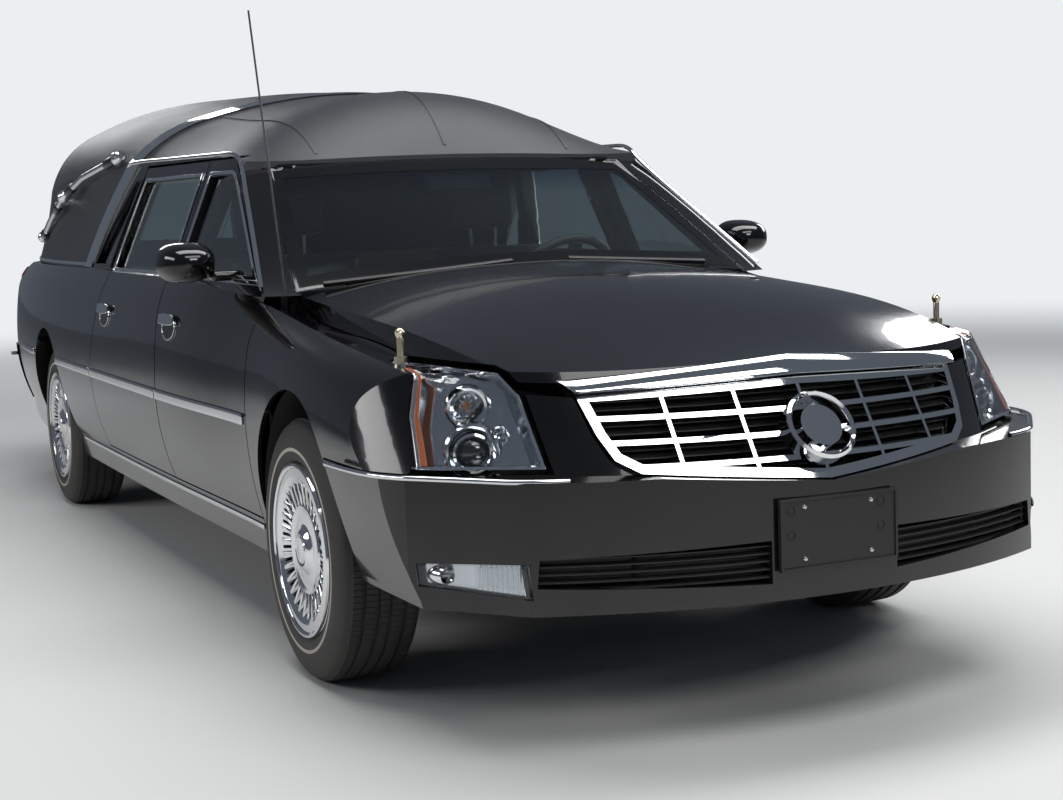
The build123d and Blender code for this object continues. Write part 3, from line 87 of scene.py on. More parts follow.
def named(name):
    """The object that a call has just made, with its name."""
    made = bpy.context.object
    made.name = name
    return made


def tune(material, values):
    """Sets constant values on a material's own shader."""
    for socket, value in values.items():
        shader_of(material).inputs[socket].default_value = value


def add_node(tree, kind, operation=None, **values):
    """A shader node with its operation and its named inputs set."""
    made = tree.nodes.new(f"ShaderNode{kind}")
    if operation:
        made.operation = operation
    for socket, value in values.items():
        made.inputs[socket.replace("_", " ").title()].default_value = value
    return made


def wire(tree, *runs):
    """Links outputs to inputs, each run as (node, output, node, input)."""
    for source, output, target, entry in runs:
        tree.links.new(source.outputs[output], target.inputs[entry])


bpy.ops.mesh.primitive_plane_add(size=80)
floor = named("studio_floor")
horizon_color = (0.84, 0.86, 0.88, 1)
pale_floor = new_material("pale_floor", (0.60, 0.60, 0.59), 0.8)
floor_tree = pale_floor.node_tree
floor_on = add_node(floor_tree, "TexCoord")
reach = add_node(floor_tree, "VectorMath", "LENGTH")
far = add_node(floor_tree, "MapRange", from_min=5.5, from_max=15)
far.interpolation_type = "SMOOTHSTEP"
viewed = add_node(floor_tree, "LightPath")
faded = add_node(floor_tree, "Math", "MULTIPLY")
horizon = add_node(floor_tree, "Emission", color=horizon_color)
floor_mix = add_node(floor_tree, "MixShader")
wire(
    floor_tree,
    (floor_on, "Object", reach, 0), (reach, "Value", far, "Value"),
    (far, "Result", faded, 0), (viewed, "Is Camera Ray", faded, 1),
    (faded, "Value", floor_mix, "Fac"),
    (shader_of(pale_floor), "BSDF", floor_mix, 1),
    (horizon, "Emission", floor_mix, 2),
    (floor_mix, "Shader", floor_tree.nodes["Material Output"], "Surface"),
)
floor.data.materials.append(pale_floor)
room = bpy.data.worlds.new("studio_room")
bpy.context.scene.world = room
room.use_nodes = True
room_tree = room.node_tree
room_light = room_tree.nodes["Background"]
room_light.inputs["Color"].default_value = (0.72, 0.82, 1.0, 1)
room_light.inputs["Strength"].default_value = 0.14
backdrop = add_node(room_tree, "Background", color=horizon_color)
light_path = add_node(room_tree, "LightPath")
seen = add_node(room_tree, "MixShader")
wire(
    room_tree,
    (light_path, "Is Camera Ray", seen, "Fac"), (room_light, "Background", seen, 1),
    (backdrop, "Background", seen, 2),
    (seen, "Shader", room_tree.nodes["World Output"], "Surface"),
)
for lamp_name, place, target, width, height, power in (
    ("lamp_over", (0.6, -0.8, 6.0), (0.0, -0.8, 0.0), 2.6, 8.0, 380),
    ("lamp_right", (-7.5, 0.5, 3.6), (-0.8, 0.2, 0.6), 6.0, 1.6, 170),
    ("lamp_front", (1.0, -9.5, 4.6), (0.0, -2.6, 0.6), 3.6, 1.4, 150),
    ("lamp_grille", (0.4, -6.2, 6.2), (0.0, -3.0, 0.7), 6.0, 2.4, 210),
    ("lamp_left", (7.0, 2.0, 3.8), (0.8, 0.5, 0.8), 5.0, 2.0, 170),
    ("lamp_rear", (0.0, 9.0, 4.0), (0.0, 3.0, 0.8), 3.0, 1.5, 90),
):
    bpy.ops.object.light_add(type="AREA", location=place)
    lamp = named(lamp_name)
    lamp.data.shape = "RECTANGLE"
    lamp.data.size = width
    lamp.data.size_y = height
    lamp.data.energy = power
    lamp.rotation_euler = (Vector(target) - Vector(place)).to_track_quat("-Z", "Y").to_euler()


# Body panels: pressed steel in black lacquer under clear coat, bolted and welded to the
# body shell. The lacquer has a faint orange peel and a haze of road dust low down.
def group_with(name, inputs, outputs):
    """A shader node group with named inputs and outputs."""
    group = bpy.data.node_groups.new(name, "ShaderNodeTree")
    for socket, kind, value in inputs:
        made = group.interface.new_socket(name=socket, in_out="INPUT", socket_type=kind)
        made.default_value = value
    for socket, kind in outputs:
        group.interface.new_socket(name=socket, in_out="OUTPUT", socket_type=kind)
    return group, group.nodes.new("NodeGroupInput"), group.nodes.new("NodeGroupOutput")


number = "NodeSocketFloat"
surface_grain, grain_in, grain_out = group_with(
    "surface_grain",
    [("Scale", number, 300.0), ("Bump", number, 0.1), ("Rough", number, 0.3), ("Spread", number, 0.1)],
    [("Tone", number), ("Rough", number), ("Normal", "NodeSocketVector")],
)
place_on = add_node(surface_grain, "TexCoord")
fine = add_node(surface_grain, "TexNoise", detail=3)
broad = add_node(surface_grain, "TexNoise", scale=3, detail=6)
centred = add_node(surface_grain, "Math", "SUBTRACT")
centred.inputs[1].default_value = 0.5
spread = add_node(surface_grain, "Math", "MULTIPLY_ADD")
relief = add_node(surface_grain, "Bump", distance=0.001)
wire(
    surface_grain,
    (place_on, "Object", fine, "Vector"), (place_on, "Object", broad, "Vector"),
    (grain_in, "Scale", fine, "Scale"), (fine, "Fac", relief, "Height"),
    (grain_in, "Bump", relief, "Strength"), (broad, "Fac", centred, 0),
    (centred, "Value", spread, 0), (grain_in, "Spread", spread, 1),
    (grain_in, "Rough", spread, 2), (broad, "Fac", grain_out, "Tone"),
    (spread, "Value", grain_out, "Rough"), (relief, "Normal", grain_out, "Normal"),
)

road_dust, dust_in, dust_out = group_with(
    "road_dust",
    [("Amount", number, 0.2), ("Top", number, 0.75)],
    [("Mask", number)],
)
where = add_node(road_dust, "TexCoord")
split = add_node(road_dust, "SeparateXYZ")
fade = add_node(road_dust, "MapRange", from_min=0.1, to_min=1.0, to_max=0.0)
patches = add_node(road_dust, "TexNoise", scale=7, detail=8)
patchy = add_node(road_dust, "Math", "MULTIPLY")
dusty = add_node(road_dust, "Math", "MULTIPLY")
wire(
    road_dust,
    (where, "Object", split, "Vector"), (where, "Object", patches, "Vector"),
    (split, "Z", fade, "Value"), (dust_in, "Top", fade, "From Max"),
    (fade, "Result", patchy, 0), (patches, "Fac", patchy, 1),
    (patchy, "Value", dusty, 0), (dust_in, "Amount", dusty, 1),
    (dusty, "Value", dust_out, "Mask"),
)
dust_color = (0.21, 0.19, 0.165)


def mixed(material, low, high, mask):
    """Mixes two colours or colour outputs by a mask and returns the mixed output."""
    tree = material.node_tree
    mix = add_node(tree, "Mix")
    mix.data_type = "RGBA"
    for socket, color in ((mix.inputs[6], low), (mix.inputs[7], high)):
        if isinstance(color, tuple):
            socket.default_value = (*color, 1)
        else:
            tree.links.new(color, socket)
    tree.links.new(mask, mix.inputs[0])
    return mix.outputs[2]


def over_base(material, color, mask):
    """Lays a colour over a material's base colour where a mask says."""
    base = shader_of(material).inputs["Base Color"]
    shade = mixed(material, base.links[0].from_socket, color, mask)
    material.node_tree.links.new(shade, base)


def height_mask(material, low, high, start=0.0, end=1.0):
    """A mask that goes from start to end between two heights on the car."""
    tree = material.node_tree
    spot, parts = add_node(tree, "TexCoord"), add_node(tree, "SeparateXYZ")
    ramp = add_node(tree, "MapRange", from_min=low, from_max=high, to_min=start, to_max=end)
    wire(tree, (spot, "Object", parts, "Vector"), (parts, "Z", ramp, "Value"))
    return ramp.outputs["Result"]


def grained(name, color, rough, spread, scale, bump, metallic=0.0, dust=0.0, tone=0.12):
    """A finish whose colour and gloss drift, with fine grain and road dust."""
    material = new_material(name, color, rough, metallic)
    tree = material.node_tree
    shader = shader_of(material)
    grain = add_node(tree, "Group")
    grain.node_tree = surface_grain
    for socket, value in (("Scale", scale), ("Bump", bump), ("Rough", rough), ("Spread", spread)):
        grain.inputs[socket].default_value = value
    dark = tuple(channel * (1 - tone) for channel in color)
    light = tuple(min(1.0, channel * (1 + tone)) for channel in color)
    shade = mixed(material, dark, light, grain.outputs["Tone"])
    if dust:
        film = add_node(tree, "Group")
        film.node_tree = road_dust
        film.inputs["Amount"].default_value = dust
        shade = mixed(material, shade, dust_color, film.outputs["Mask"])
        dull = add_node(tree, "Math", "MULTIPLY_ADD")
        dull.inputs[1].default_value = 0.6
        wire(tree, (film, "Mask", dull, 0), (grain, "Rough", dull, 2))
        wire(tree, (dull, "Value", shader, "Roughness"))
    else:
        wire(tree, (grain, "Rough", shader, "Roughness"))
    tree.links.new(shade, shader.inputs["Base Color"])
    wire(tree, (grain, "Normal", shader, "Normal"))
    return material


def dress(material, *names):
    """Gives CAD nodes a finish in every slot."""
    for name in names:
        for slot in nodes[name].material_slots:
            slot.material = material


def pair(*names):
    """The left and the right of each name."""
    return [f"{name}_{side}" for name in names for side in ("left", "right")]


lacquer_color = (0.0028, 0.0028, 0.0032)
lacquer_gloss = 0.015
black_lacquer = grained("black_lacquer", lacquer_color, 0.12, 0.05, 450, 0.015, dust=0.16)
tune(black_lacquer, {"Specular IOR Level": 0.25, "Coat Weight": 0.6, "Coat Roughness": lacquer_gloss})
dress(black_lacquer, "hood", "front_bumper", "rear_bumper", *pair("side_frame", "fender"))
dress(black_lacquer, *pair("front_door", "rear_door", "mirror"))

# Underbody and running gear: welded floor, rails and firewall in satin black underseal,
# cast iron knuckles, subframe and arms, a cast engine block, plastic tank, steel exhaust.
dress(grained("underseal", (0.014, 0.014, 0.015), 0.6, 0.2, 260, 0.5, dust=0.5), "underbody")
cast_iron = grained("cast_iron", (0.06, 0.06, 0.062), 0.6, 0.2, 180, 0.6, 0.3, dust=0.5)
dress(cast_iron, "front_suspension", "rear_suspension", *pair("knuckle"))
dress(grained("cast_engine", (0.30, 0.30, 0.31), 0.5, 0.15, 220, 0.5, 0.7, dust=0.2), "engine")
dress(grained("tank_plastic", (0.02, 0.02, 0.021), 0.5, 0.1, 500, 0.3, dust=0.5), "fuel_tank")
pipe_steel = grained("pipe_steel", (0.30, 0.27, 0.24), 0.38, 0.3, 120, 0.2, 1.0, dust=0.4, tone=0.4)
dress(pipe_steel, "exhaust")

# Tyres: black rubber with four rain grooves, siped shoulder lugs and one pale stripe on
# the outer wall, pressed over the rims. Each replaces the plain ring of the frame.
front_axle = Vector((0.795, -1.990, 0.350))
rear_axle = Vector((0.795, 1.490, 0.350))
tyre_steps = 132
tread_floor = 0.3415
stripe_inner, stripe_outer = 0.2625, 0.2720
tyre_wall = [
    (0.086, 0.2165), (0.101, 0.2305), (0.108, 0.240), (0.1130, 0.252), (0.1142, 0.262),
    (0.1150, 0.263), (0.1156, 0.271), (0.1150, 0.272), (0.1154, 0.286), (0.1130, 0.303),
    (0.1075, 0.319), (0.1020, 0.330),
]
tyre_tread = [
    (0.0960, 0.3380), (0.0840, 0.3450), (0.0600, 0.3462), (0.0590, 0.3400), (0.0510, 0.3400),
    (0.0500, 0.3466), (0.0210, 0.3468), (0.0200, 0.3410), (0.0120, 0.3410), (0.0110, 0.3470),
]


def only(piece):
    """Leaves one piece selected and active."""
    bpy.ops.object.select_all(action="DESELECT")
    piece.select_set(True)
    bpy.context.view_layer.objects.active = piece


def outline(name, points, fill="NGON"):
    """A ring of vertices, filled or open, with one at each given point."""
    bpy.ops.mesh.primitive_circle_add(vertices=len(points), fill_type=fill)
    piece = named(name)
    for vertex, point in zip(piece.data.vertices, points):
        vertex.co = point
    return piece


def open_faces(piece, chosen):
    """Opens a piece for editing with the faces that the test chooses selected."""
    only(piece)
    bpy.ops.object.mode_set(mode="EDIT")
    bpy.ops.mesh.select_mode(type="FACE")
    bpy.ops.mesh.select_all(action="DESELECT")
    bpy.ops.object.mode_set(mode="OBJECT")
    for face in piece.data.polygons:
        face.select = chosen(face)
    bpy.ops.object.mode_set(mode="EDIT")


def open_all(piece):
    """Opens a piece for editing with all of it selected."""
    only(piece)
    bpy.ops.object.mode_set(mode="EDIT")
    bpy.ops.mesh.select_all(action="SELECT")


def close_edit():
    """Leaves edit mode."""
    bpy.ops.object.mode_set(mode="OBJECT")


def clean_shell(piece):
    """Merges doubled vertices and turns all faces outwards."""
    open_all(piece)
    bpy.ops.mesh.remove_doubles(threshold=0.00005)
    bpy.ops.mesh.normals_make_consistent(inside=False)
    close_edit()


def spun(name, points, centre, axis, steps):
    """A ring of points spun once round an axis into a shell."""
    piece = outline(name, points, "NOTHING")
    open_all(piece)
    bpy.ops.mesh.spin(steps=steps, angle=2 * math.pi, center=centre, axis=axis)
    close_edit()
    clean_shell(piece)
    return piece


def turned(name, profile, centre, steps, hand=1):
    """A closed profile of (outwards, radius) pairs spun about a wheel's axis."""
    points = [centre + Vector((hand * u, 0, r)) for u, r in profile]
    return spun(name, points, centre, (1, 0, 0), steps)


def finish_piece(piece, body, slot, *materials, sharp=35):
    """Gives a finished piece its finish, its smooth shading and its body. Its slot argument is not
    used.
    """
    only(piece)
    bpy.ops.object.transform_apply(location=True, rotation=True, scale=True)
    piece.data.materials.clear()
    for material in materials:
        piece.data.materials.append(material)
    bpy.ops.object.shade_smooth_by_angle(angle=math.radians(sharp))
    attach(piece, body)
    return piece


rubber = grained("tyre_rubber", (0.013, 0.013, 0.013), 0.62, 0.2, 700, 0.35, dust=0.30, tone=0.25)
pale_stripe = grained("pale_stripe", (0.42, 0.39, 0.34), 0.6, 0.2, 500, 0.2, dust=0.3)
wheels = [
    (f"{corner}_{side}", f"{corner}_wheel_{side}", Vector((hand * axle.x, axle.y, axle.z)), hand)
    for corner, axle in (("front", front_axle), ("rear", rear_axle))
    for side, hand in (("left", 1), ("right", -1))
]


def from_axle(face, centre):
    """A face's offset from a wheel's centre, and its distance from the axle."""
    offset = face.center - centre
    return offset, math.hypot(offset.y, offset.z)


def is_lug(face, centre):
    """Whether a face is tread that looks away from the axle."""
    offset, reach = from_axle(face, centre)
    outwards = Vector((0, offset.y, offset.z)).normalized()
    return reach > tread_floor and face.normal.dot(outwards) > 0.7


tyre_half = tyre_wall + tyre_tread
tyre_profile = tyre_half + [(-u, r) for u, r in reversed(tyre_half)]
for label, body, centre, hand in wheels:
    tyre = turned(f"treaded_tyre_{label}", tyre_profile, centre, tyre_steps, hand)
    open_faces(tyre, lambda face: is_lug(face, centre))
    bpy.ops.mesh.inset(use_individual=True, thickness=0.0011, depth=0.0026)
    close_edit()
    finish_piece(tyre, body, "tyre", rubber, pale_stripe, sharp=28)
    for face in tyre.data.polygons:
        offset, reach = from_axle(face, centre)
        if stripe_inner < reach < stripe_outer and hand * offset.x > 0.1:
            face.material_index = 1
    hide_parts(f"tyre_{label}")

# Wheel covers: bright pressed steel over the rims, with thirty slots. Added here are the
# blades between the slots, a rolled lip, a dished ring and a plain centre cap.
chrome = grained("chrome", (0.80, 0.81, 0.82), 0.05, 0.05, 90, 0.01, 1.0, tone=0.03, dust=0.10)
dress(chrome, *[f"wheel_{label}" for label, body, centre, hand in wheels])
dress(chrome, "roof_band", "grille", "landau_bars")
lip_profile = [(0.101, 0.226), (0.108, 0.2325), (0.1145, 0.2305), (0.1160, 0.224), (0.1125, 0.218)]
dish_profile = [
    (0.094, 0.120), (0.099, 0.116), (0.096, 0.104), (0.092, 0.090), (0.094, 0.072),
    (0.101, 0.058), (0.108, 0.050), (0.110, 0.044), (0.104, 0.040), (0.090, 0.044), (0.086, 0.110),
]
cap_profile = [
    (0.100, 0.0), (0.100, 0.036), (0.108, 0.0365), (0.1105, 0.034), (0.1100, 0.030),
    (0.1120, 0.018), (0.1128, 0.0),
]
blade_count = 30
for label, body, centre, hand in wheels:
    for part, profile, steps in (
        ("lip", lip_profile, 72), ("dish", dish_profile, 72), ("cap", cap_profile, 48),
    ):
        ring = turned(f"cover_{part}_{label}", profile, centre, steps, hand)
        finish_piece(ring, body, "wheel_chrome", chrome)
    bpy.ops.mesh.primitive_cube_add(size=1)
    blade = named(f"cover_blades_{label}")
    for vertex in blade.data.vertices:
        outer = vertex.co.z > 0
        u = (0.106 if outer else 0.0965) + (0.0 if vertex.co.x > 0 else -0.012)
        half = 0.0065 if outer else 0.0035
        reach = 0.186 if outer else 0.118
        side = half if vertex.co.y > 0 else -half
        vertex.co = centre + Vector((hand * u, side, reach))
    open_all(blade)
    bpy.ops.mesh.bevel(offset=0.0018, segments=2)
    bpy.ops.mesh.select_all(action="SELECT")
    bpy.ops.transform.rotate(
        value=math.radians(180 / blade_count), orient_axis="X", center_override=centre
    )
    bpy.ops.mesh.spin(
        steps=blade_count - 1,
        dupli=True,
        angle=2 * math.pi * (blade_count - 1) / blade_count,
        center=centre,
        axis=(1, 0, 0),
    )
    close_edit()
    clean_shell(blade)
    finish_piece(blade, body, "wheel_chrome", chrome)

# Floor, deck and cabin: a varnished deck with steel rollers behind a partition, a padded
# dashboard with vents and a hood over the dials, a steering wheel and a cabin mirror.
deck_wood = grained("deck_wood", (0.16, 0.062, 0.024), 0.25, 0.2, 60, 0.15, tone=0.45)
dress(deck_wood, "casket_deck")
soft_black = grained("soft_black", (0.022, 0.022, 0.024), 0.55, 0.15, 420, 0.45)
dress(soft_black, "dashboard", "steering_wheel")
roller_steel = grained("roller_steel", (0.62, 0.62, 0.63), 0.25, 0.2, 200, 0.1, 1.0)


def dished(piece, chosen, rim, depth):
    """Sinks the chosen faces inside a narrow rim."""
    open_faces(piece, chosen)
    bpy.ops.mesh.inset(thickness=rim, depth=-depth)
    close_edit()


def add_modifier(piece, kind, **settings):
    """Adds one modifier with its settings and applies it."""
    only(piece)
    modifier = piece.modifiers.new(kind.lower(), kind)
    for key, value in settings.items():
        setattr(modifier, key, value)
    bpy.ops.object.modifier_apply(modifier=modifier.name)


def block(name, low, high):
    """A plain box between two corners."""
    bpy.ops.mesh.primitive_cube_add(size=1, location=(Vector(low) + Vector(high)) / 2)
    piece = named(name)
    piece.scale = Vector(high) - Vector(low)
    bpy.ops.object.transform_apply(location=True, rotation=True, scale=True)
    return piece


def box_piece(name, low, high, bevel):
    """A box between two corners with its edges rounded."""
    piece = block(name, low, high)
    add_modifier(piece, "BEVEL", width=bevel, segments=3)
    return piece


roller_height = 0.619
for count, place_y in enumerate((0.16, 0.71, 1.26, 1.81, 2.36, 2.86)):
    bpy.ops.mesh.primitive_cylinder_add(
        vertices=32, radius=0.0146, depth=0.46,
        location=(0, place_y, roller_height), rotation=(0, math.pi / 2, 0),
    )
    roller = named(f"deck_roller_{count + 1}")
    dished(roller, lambda face: abs(face.normal.z) > 0.9, 0.004, 0.003)
    finish_piece(roller, "body", "deck_wood", roller_steel)


def faces_rear(face):
    """Whether a face looks to the car's rear."""
    return face.normal.y > 0.9


dial_hood = box_piece("dial_hood", (0.17, -1.36, 0.965), (0.57, -1.17, 1.018), 0.02)
dished(dial_hood, faces_rear, 0.012, 0.05)
finish_piece(dial_hood, "body", "interior_plastic", soft_black)
for count, place_x in enumerate((-0.56, -0.06, 0.09, 0.62)):
    low, high = (place_x - 0.055, -1.14, 0.88), (place_x + 0.055, -1.095, 0.93)
    vent = box_piece(f"dash_vent_{count + 1}", low, high, 0.006)
    dished(vent, faces_rear, 0.006, 0.012)
    finish_piece(vent, "body", "interior_plastic", roller_steel)
wood_trim = box_piece("dash_wood_trim", (-0.66, -1.125, 0.835), (0.66, -1.085, 0.868), 0.006)
finish_piece(wood_trim, "body", "interior_plastic", deck_wood)
rear_mirror = box_piece("cabin_mirror", (-0.12, -0.985, 1.285), (0.12, -0.962, 1.342), 0.010)
dished(rear_mirror, faces_rear, 0.006, 0.003)
finish_piece(rear_mirror, "body", "interior_plastic", soft_black)
stalk_low, stalk_high = (-0.011, -0.978, 1.330), (0.011, -0.958, 1.364)
mirror_stalk = box_piece("cabin_mirror_stalk", stalk_low, stalk_high, 0.004)
finish_piece(mirror_stalk, "body", "interior_plastic", soft_black)

# Front seats: foam cushions under black hide on plastic boxes, with headrests on steel
# posts. They stand in for the plain seat solids of the frame.
hide = grained("seat_hide", (0.024, 0.024, 0.026), 0.42, 0.12, 300, 0.5)
tune(hide, {"Sheen Weight": 0.15})
seat_x = 0.372
cloth_reach = 0.014
seat_pieces = []


def cushion(name, low, high, lean, pressure):
    """A padded box, swelled by a cloth simulation and leaned back about its foot."""
    piece = block(name, low, high)
    open_all(piece)
    bpy.ops.mesh.subdivide(number_cuts=3)
    close_edit()
    add_modifier(piece, "BEVEL", width=0.03, segments=3)
    add_modifier(piece, "REMESH", mode="VOXEL", voxel_size=0.016)
    start = [vertex.co.copy() for vertex in piece.data.vertices]
    only(piece)
    cloth = piece.modifiers.new("cloth", "CLOTH")
    cloth.settings.quality = 5
    cloth.settings.use_pressure = True
    cloth.settings.uniform_pressure_force = pressure
    cloth.settings.effector_weights.gravity = 0
    for step in range(1, 16):
        bpy.context.scene.frame_set(step)
    bpy.ops.object.modifier_apply(modifier=cloth.name)
    bpy.context.scene.frame_set(1)
    for vertex, before in zip(piece.data.vertices, start):
        moved = vertex.co - before
        if moved.length > cloth_reach:
            vertex.co = before + moved.normalized() * cloth_reach
    foot = Vector(((low[0] + high[0]) / 2, low[1], low[2]))
    tilt = Matrix.Rotation(math.radians(-lean), 4, "X")
    piece.data.transform(Matrix.Translation(foot) @ tilt @ Matrix.Translation(-foot))
    add_modifier(piece, "SMOOTH", factor=0.5, iterations=3)
    finish_piece(piece, "body", "seat_leather", hide, sharp=60)
    return piece


for side, hand in (("left", 1), ("right", -1)):
    centre = hand * seat_x
    for part, half, low, high, lean, pressure in (
        ("seat_cushion", 0.245, (-0.95, 0.455), (-0.50, 0.575), -3, 2.5),
        ("seat_back", 0.245, (-0.505, 0.50), (-0.395, 1.12), 12, 2.5),
        ("headrest", 0.12, (-0.345, 1.155), (-0.265, 1.295), 4, 2.0),
    ):
        corners = (centre - half, *low), (centre + half, *high)
        seat_pieces.append(cushion(f"{part}_{side}", *corners, lean, pressure))
    low, high = (centre - 0.13, -0.87, 0.291), (centre + 0.13, -0.43, 0.46)
    box = box_piece(f"seat_box_{side}", low, high, 0.012)
    seat_pieces.append(finish_piece(box, "body", "seat_leather", soft_black))
    for count, reach in enumerate((-0.05, 0.05)):
        bpy.ops.mesh.primitive_cylinder_add(
            vertices=16, radius=0.006, depth=0.12, location=(centre + reach, -0.312, 1.12),
        )
        post = named(f"headrest_post_{side}_{count + 1}")
        finish_piece(post, "body", "seat_leather", roller_steel)
        seat_pieces.append(post)
for piece in seat_pieces:
    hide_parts("front_seats")

# Roof: a padded cap under black grained vinyl, with three sewn seams along it and a
# bright drip rail over the doors. The loading door is vinyl above the belt, steel below.
vinyl_color = (0.026, 0.028, 0.032)
vinyl = grained("grained_vinyl", vinyl_color, 0.44, 0.14, 520, 0.9, tone=0.2)
dress(vinyl, "roof")
two_tone = grained("loading_door_finish", vinyl_color, 0.44, 0.14, 520, 0.5, tone=0.2)
below_belt = height_mask(two_tone, 1.044, 1.046, 1.0, 0.0)
over_base(two_tone, lacquer_color, below_belt)
two_tone.node_tree.links.new(below_belt, shader_of(two_tone).inputs["Coat Weight"])
tune(two_tone, {"Coat Roughness": lacquer_gloss})
dress(two_tone, "loading_door")
side_x = 1.15  # beyond the car's side, where sheets start before they are laid


def mirrored(piece, name):
    """The same piece, with its own mesh, for the car's other side."""
    only(piece)
    bpy.ops.object.duplicate()
    twin = named(name)
    twin.data.transform(Matrix.Scale(-1, 4, (1, 0, 0)))
    open_all(twin)
    bpy.ops.mesh.flip_normals()
    close_edit()
    return twin


def face_way(piece, way):
    """Turns an open sheet's faces so that they look a given way."""
    total = Vector((0, 0, 0))
    for face in piece.data.polygons:
        total += face.normal * face.area
    if total.dot(Vector(way)) < 0:
        open_all(piece)
        bpy.ops.mesh.flip_normals()
        close_edit()


def project(piece, node, way, lift):
    """Drops a sheet on a node's skin. A vertex that misses takes its nearest neighbour's depth."""
    axis = max(range(3), key=lambda part: abs(way[part]))
    toward = way[axis] < 0
    before = [vertex.co.copy() for vertex in piece.data.vertices]
    add_modifier(
        piece, "SHRINKWRAP", target=nodes[node], wrap_method="PROJECT", offset=lift,
        use_project_x=axis == 0, use_project_y=axis == 1, use_project_z=axis == 2,
        use_negative_direction=not toward, use_positive_direction=toward,
    )
    flat = [part for part in range(3) if part != axis]
    landed, missed = [], []
    for vertex, old in zip(piece.data.vertices, before):
        if abs(vertex.co[axis] - old[axis]) > 1e-5:
            landed.append(vertex.co.copy())
        else:
            missed.append((vertex, old))
    for vertex, old in missed:
        near = min(landed, key=lambda spot: sum((spot[part] - old[part]) ** 2 for part in flat))
        vertex.co[axis] = near[axis]


def thickened(piece, thick, edge=0.0, offset=0.0):
    """Gives a sheet its thickness and, where asked, a fine rounded edge."""
    add_modifier(piece, "SOLIDIFY", thickness=thick, offset=offset)
    if edge:
        add_modifier(piece, "BEVEL", width=edge, segments=2, limit_method="ANGLE")


def laid(piece, node, way, lift=0.0005, thick=0.004, edge=0.0012):
    """Lays a sheet on a node's skin against the given way, and gives it thickness."""
    project(piece, node, way, lift)
    face_way(piece, way)
    thickened(piece, thick, edge, offset=1.0)


def grid(name, columns, rows, place):
    """A sheet of quads, with each vertex put where a rule of its (x, y) says."""
    bpy.ops.mesh.primitive_grid_add(x_subdivisions=columns, y_subdivisions=rows, size=1)
    piece = named(name)
    for vertex in piece.data.vertices:
        vertex.co = place(vertex.co.x, vertex.co.y)
    return piece


def side_band(name, start, end, height, node, thick=0.004):
    """A long band on the car's left side from one (y, z) to another, laid on a node."""
    (start_y, start_z), (end_y, end_z) = start, end

    def spot(along, up):
        share = along + 0.5
        y = start_y + (end_y - start_y) * share
        return side_x, y, start_z + (end_z - start_z) * share + up * height

    piece = grid(name, 40, 3, spot)
    laid(piece, node, (1, 0, 0), thick=thick)
    return piece


def both_sides(piece, body, slot, material, replaces=None, sharp=35):
    """Finishes a left-hand piece and its right-hand twin."""
    base = piece.name
    twin = mirrored(piece, f"{base}_right")
    piece.name = f"{base}_left"
    left_body, right_body = (f"{body}_left", f"{body}_right") if body != "body" else (body, body)
    finish_piece(piece, left_body, slot, material, sharp=sharp)
    finish_piece(twin, right_body, slot, material, sharp=sharp)
    if replaces:
        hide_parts(replaces.format(side="left"))
        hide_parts(replaces.format(side="right"))


def bright(piece, body="body"):
    """Finishes one piece in chrome."""
    finish_piece(piece, body, "chrome", chrome)


def both_bright(piece, body="body"):
    """Finishes a left-hand piece and its twin in chrome."""
    both_sides(piece, body, "chrome", chrome)


def rail(name, points, radius):
    """A smooth round rail through its control points."""
    bpy.ops.curve.primitive_nurbs_path_add()
    bpy.ops.object.mode_set(mode="OBJECT")
    piece = named(name)
    piece.location = (0, 0, 0)
    piece.data.splines.clear()
    line = piece.data.splines.new("NURBS")
    line.points.add(len(points) - 1)
    for point, place in zip(line.points, points):
        point.co = (*place, 1)
    line.order_u = 3
    line.use_endpoint_u = True
    line.resolution_u = 10
    piece.data.bevel_depth = radius
    piece.data.bevel_resolution = 4
    piece.data.use_fill_caps = True
    only(piece)
    bpy.ops.object.convert(target="MESH")
    piece = bpy.context.object
    clean_shell(piece)
    return piece


for count, seam_x in enumerate((-0.45, 0.0, 0.45)):
    seam = grid(f"roof_seam_{count + 1}", 3, 90, lambda across, along: (
        seam_x * (1.0 + 0.12 * (along + 0.5)) + across * 0.011, -0.885 + (along + 0.5) * 0.93, 2.2,
    ))
    laid(seam, "roof", (0, 0, 1), thick=0.0022, edge=0.0008)
    finish_piece(seam, "body", "vinyl", vinyl)
drip_points = [
    (0.830, -1.490, 1.022), (0.808, -1.390, 1.085), (0.765, -1.190, 1.209), (0.722, -0.990, 1.333),
    (0.706, -0.915, 1.385), (0.703, -0.870, 1.418), (0.708, -0.80, 1.432), (0.712, -0.69, 1.433),
    (0.730, -0.34, 1.437), (0.752, 0.0, 1.440), (0.770, 0.21, 1.443), (0.782, 0.34, 1.440),
]
both_bright(rail("drip_rail", drip_points, 0.0075))
sill = side_band("landau_sill", (0.815, 1.060), (2.86, 1.060), 0.014, "roof")
both_bright(sill)

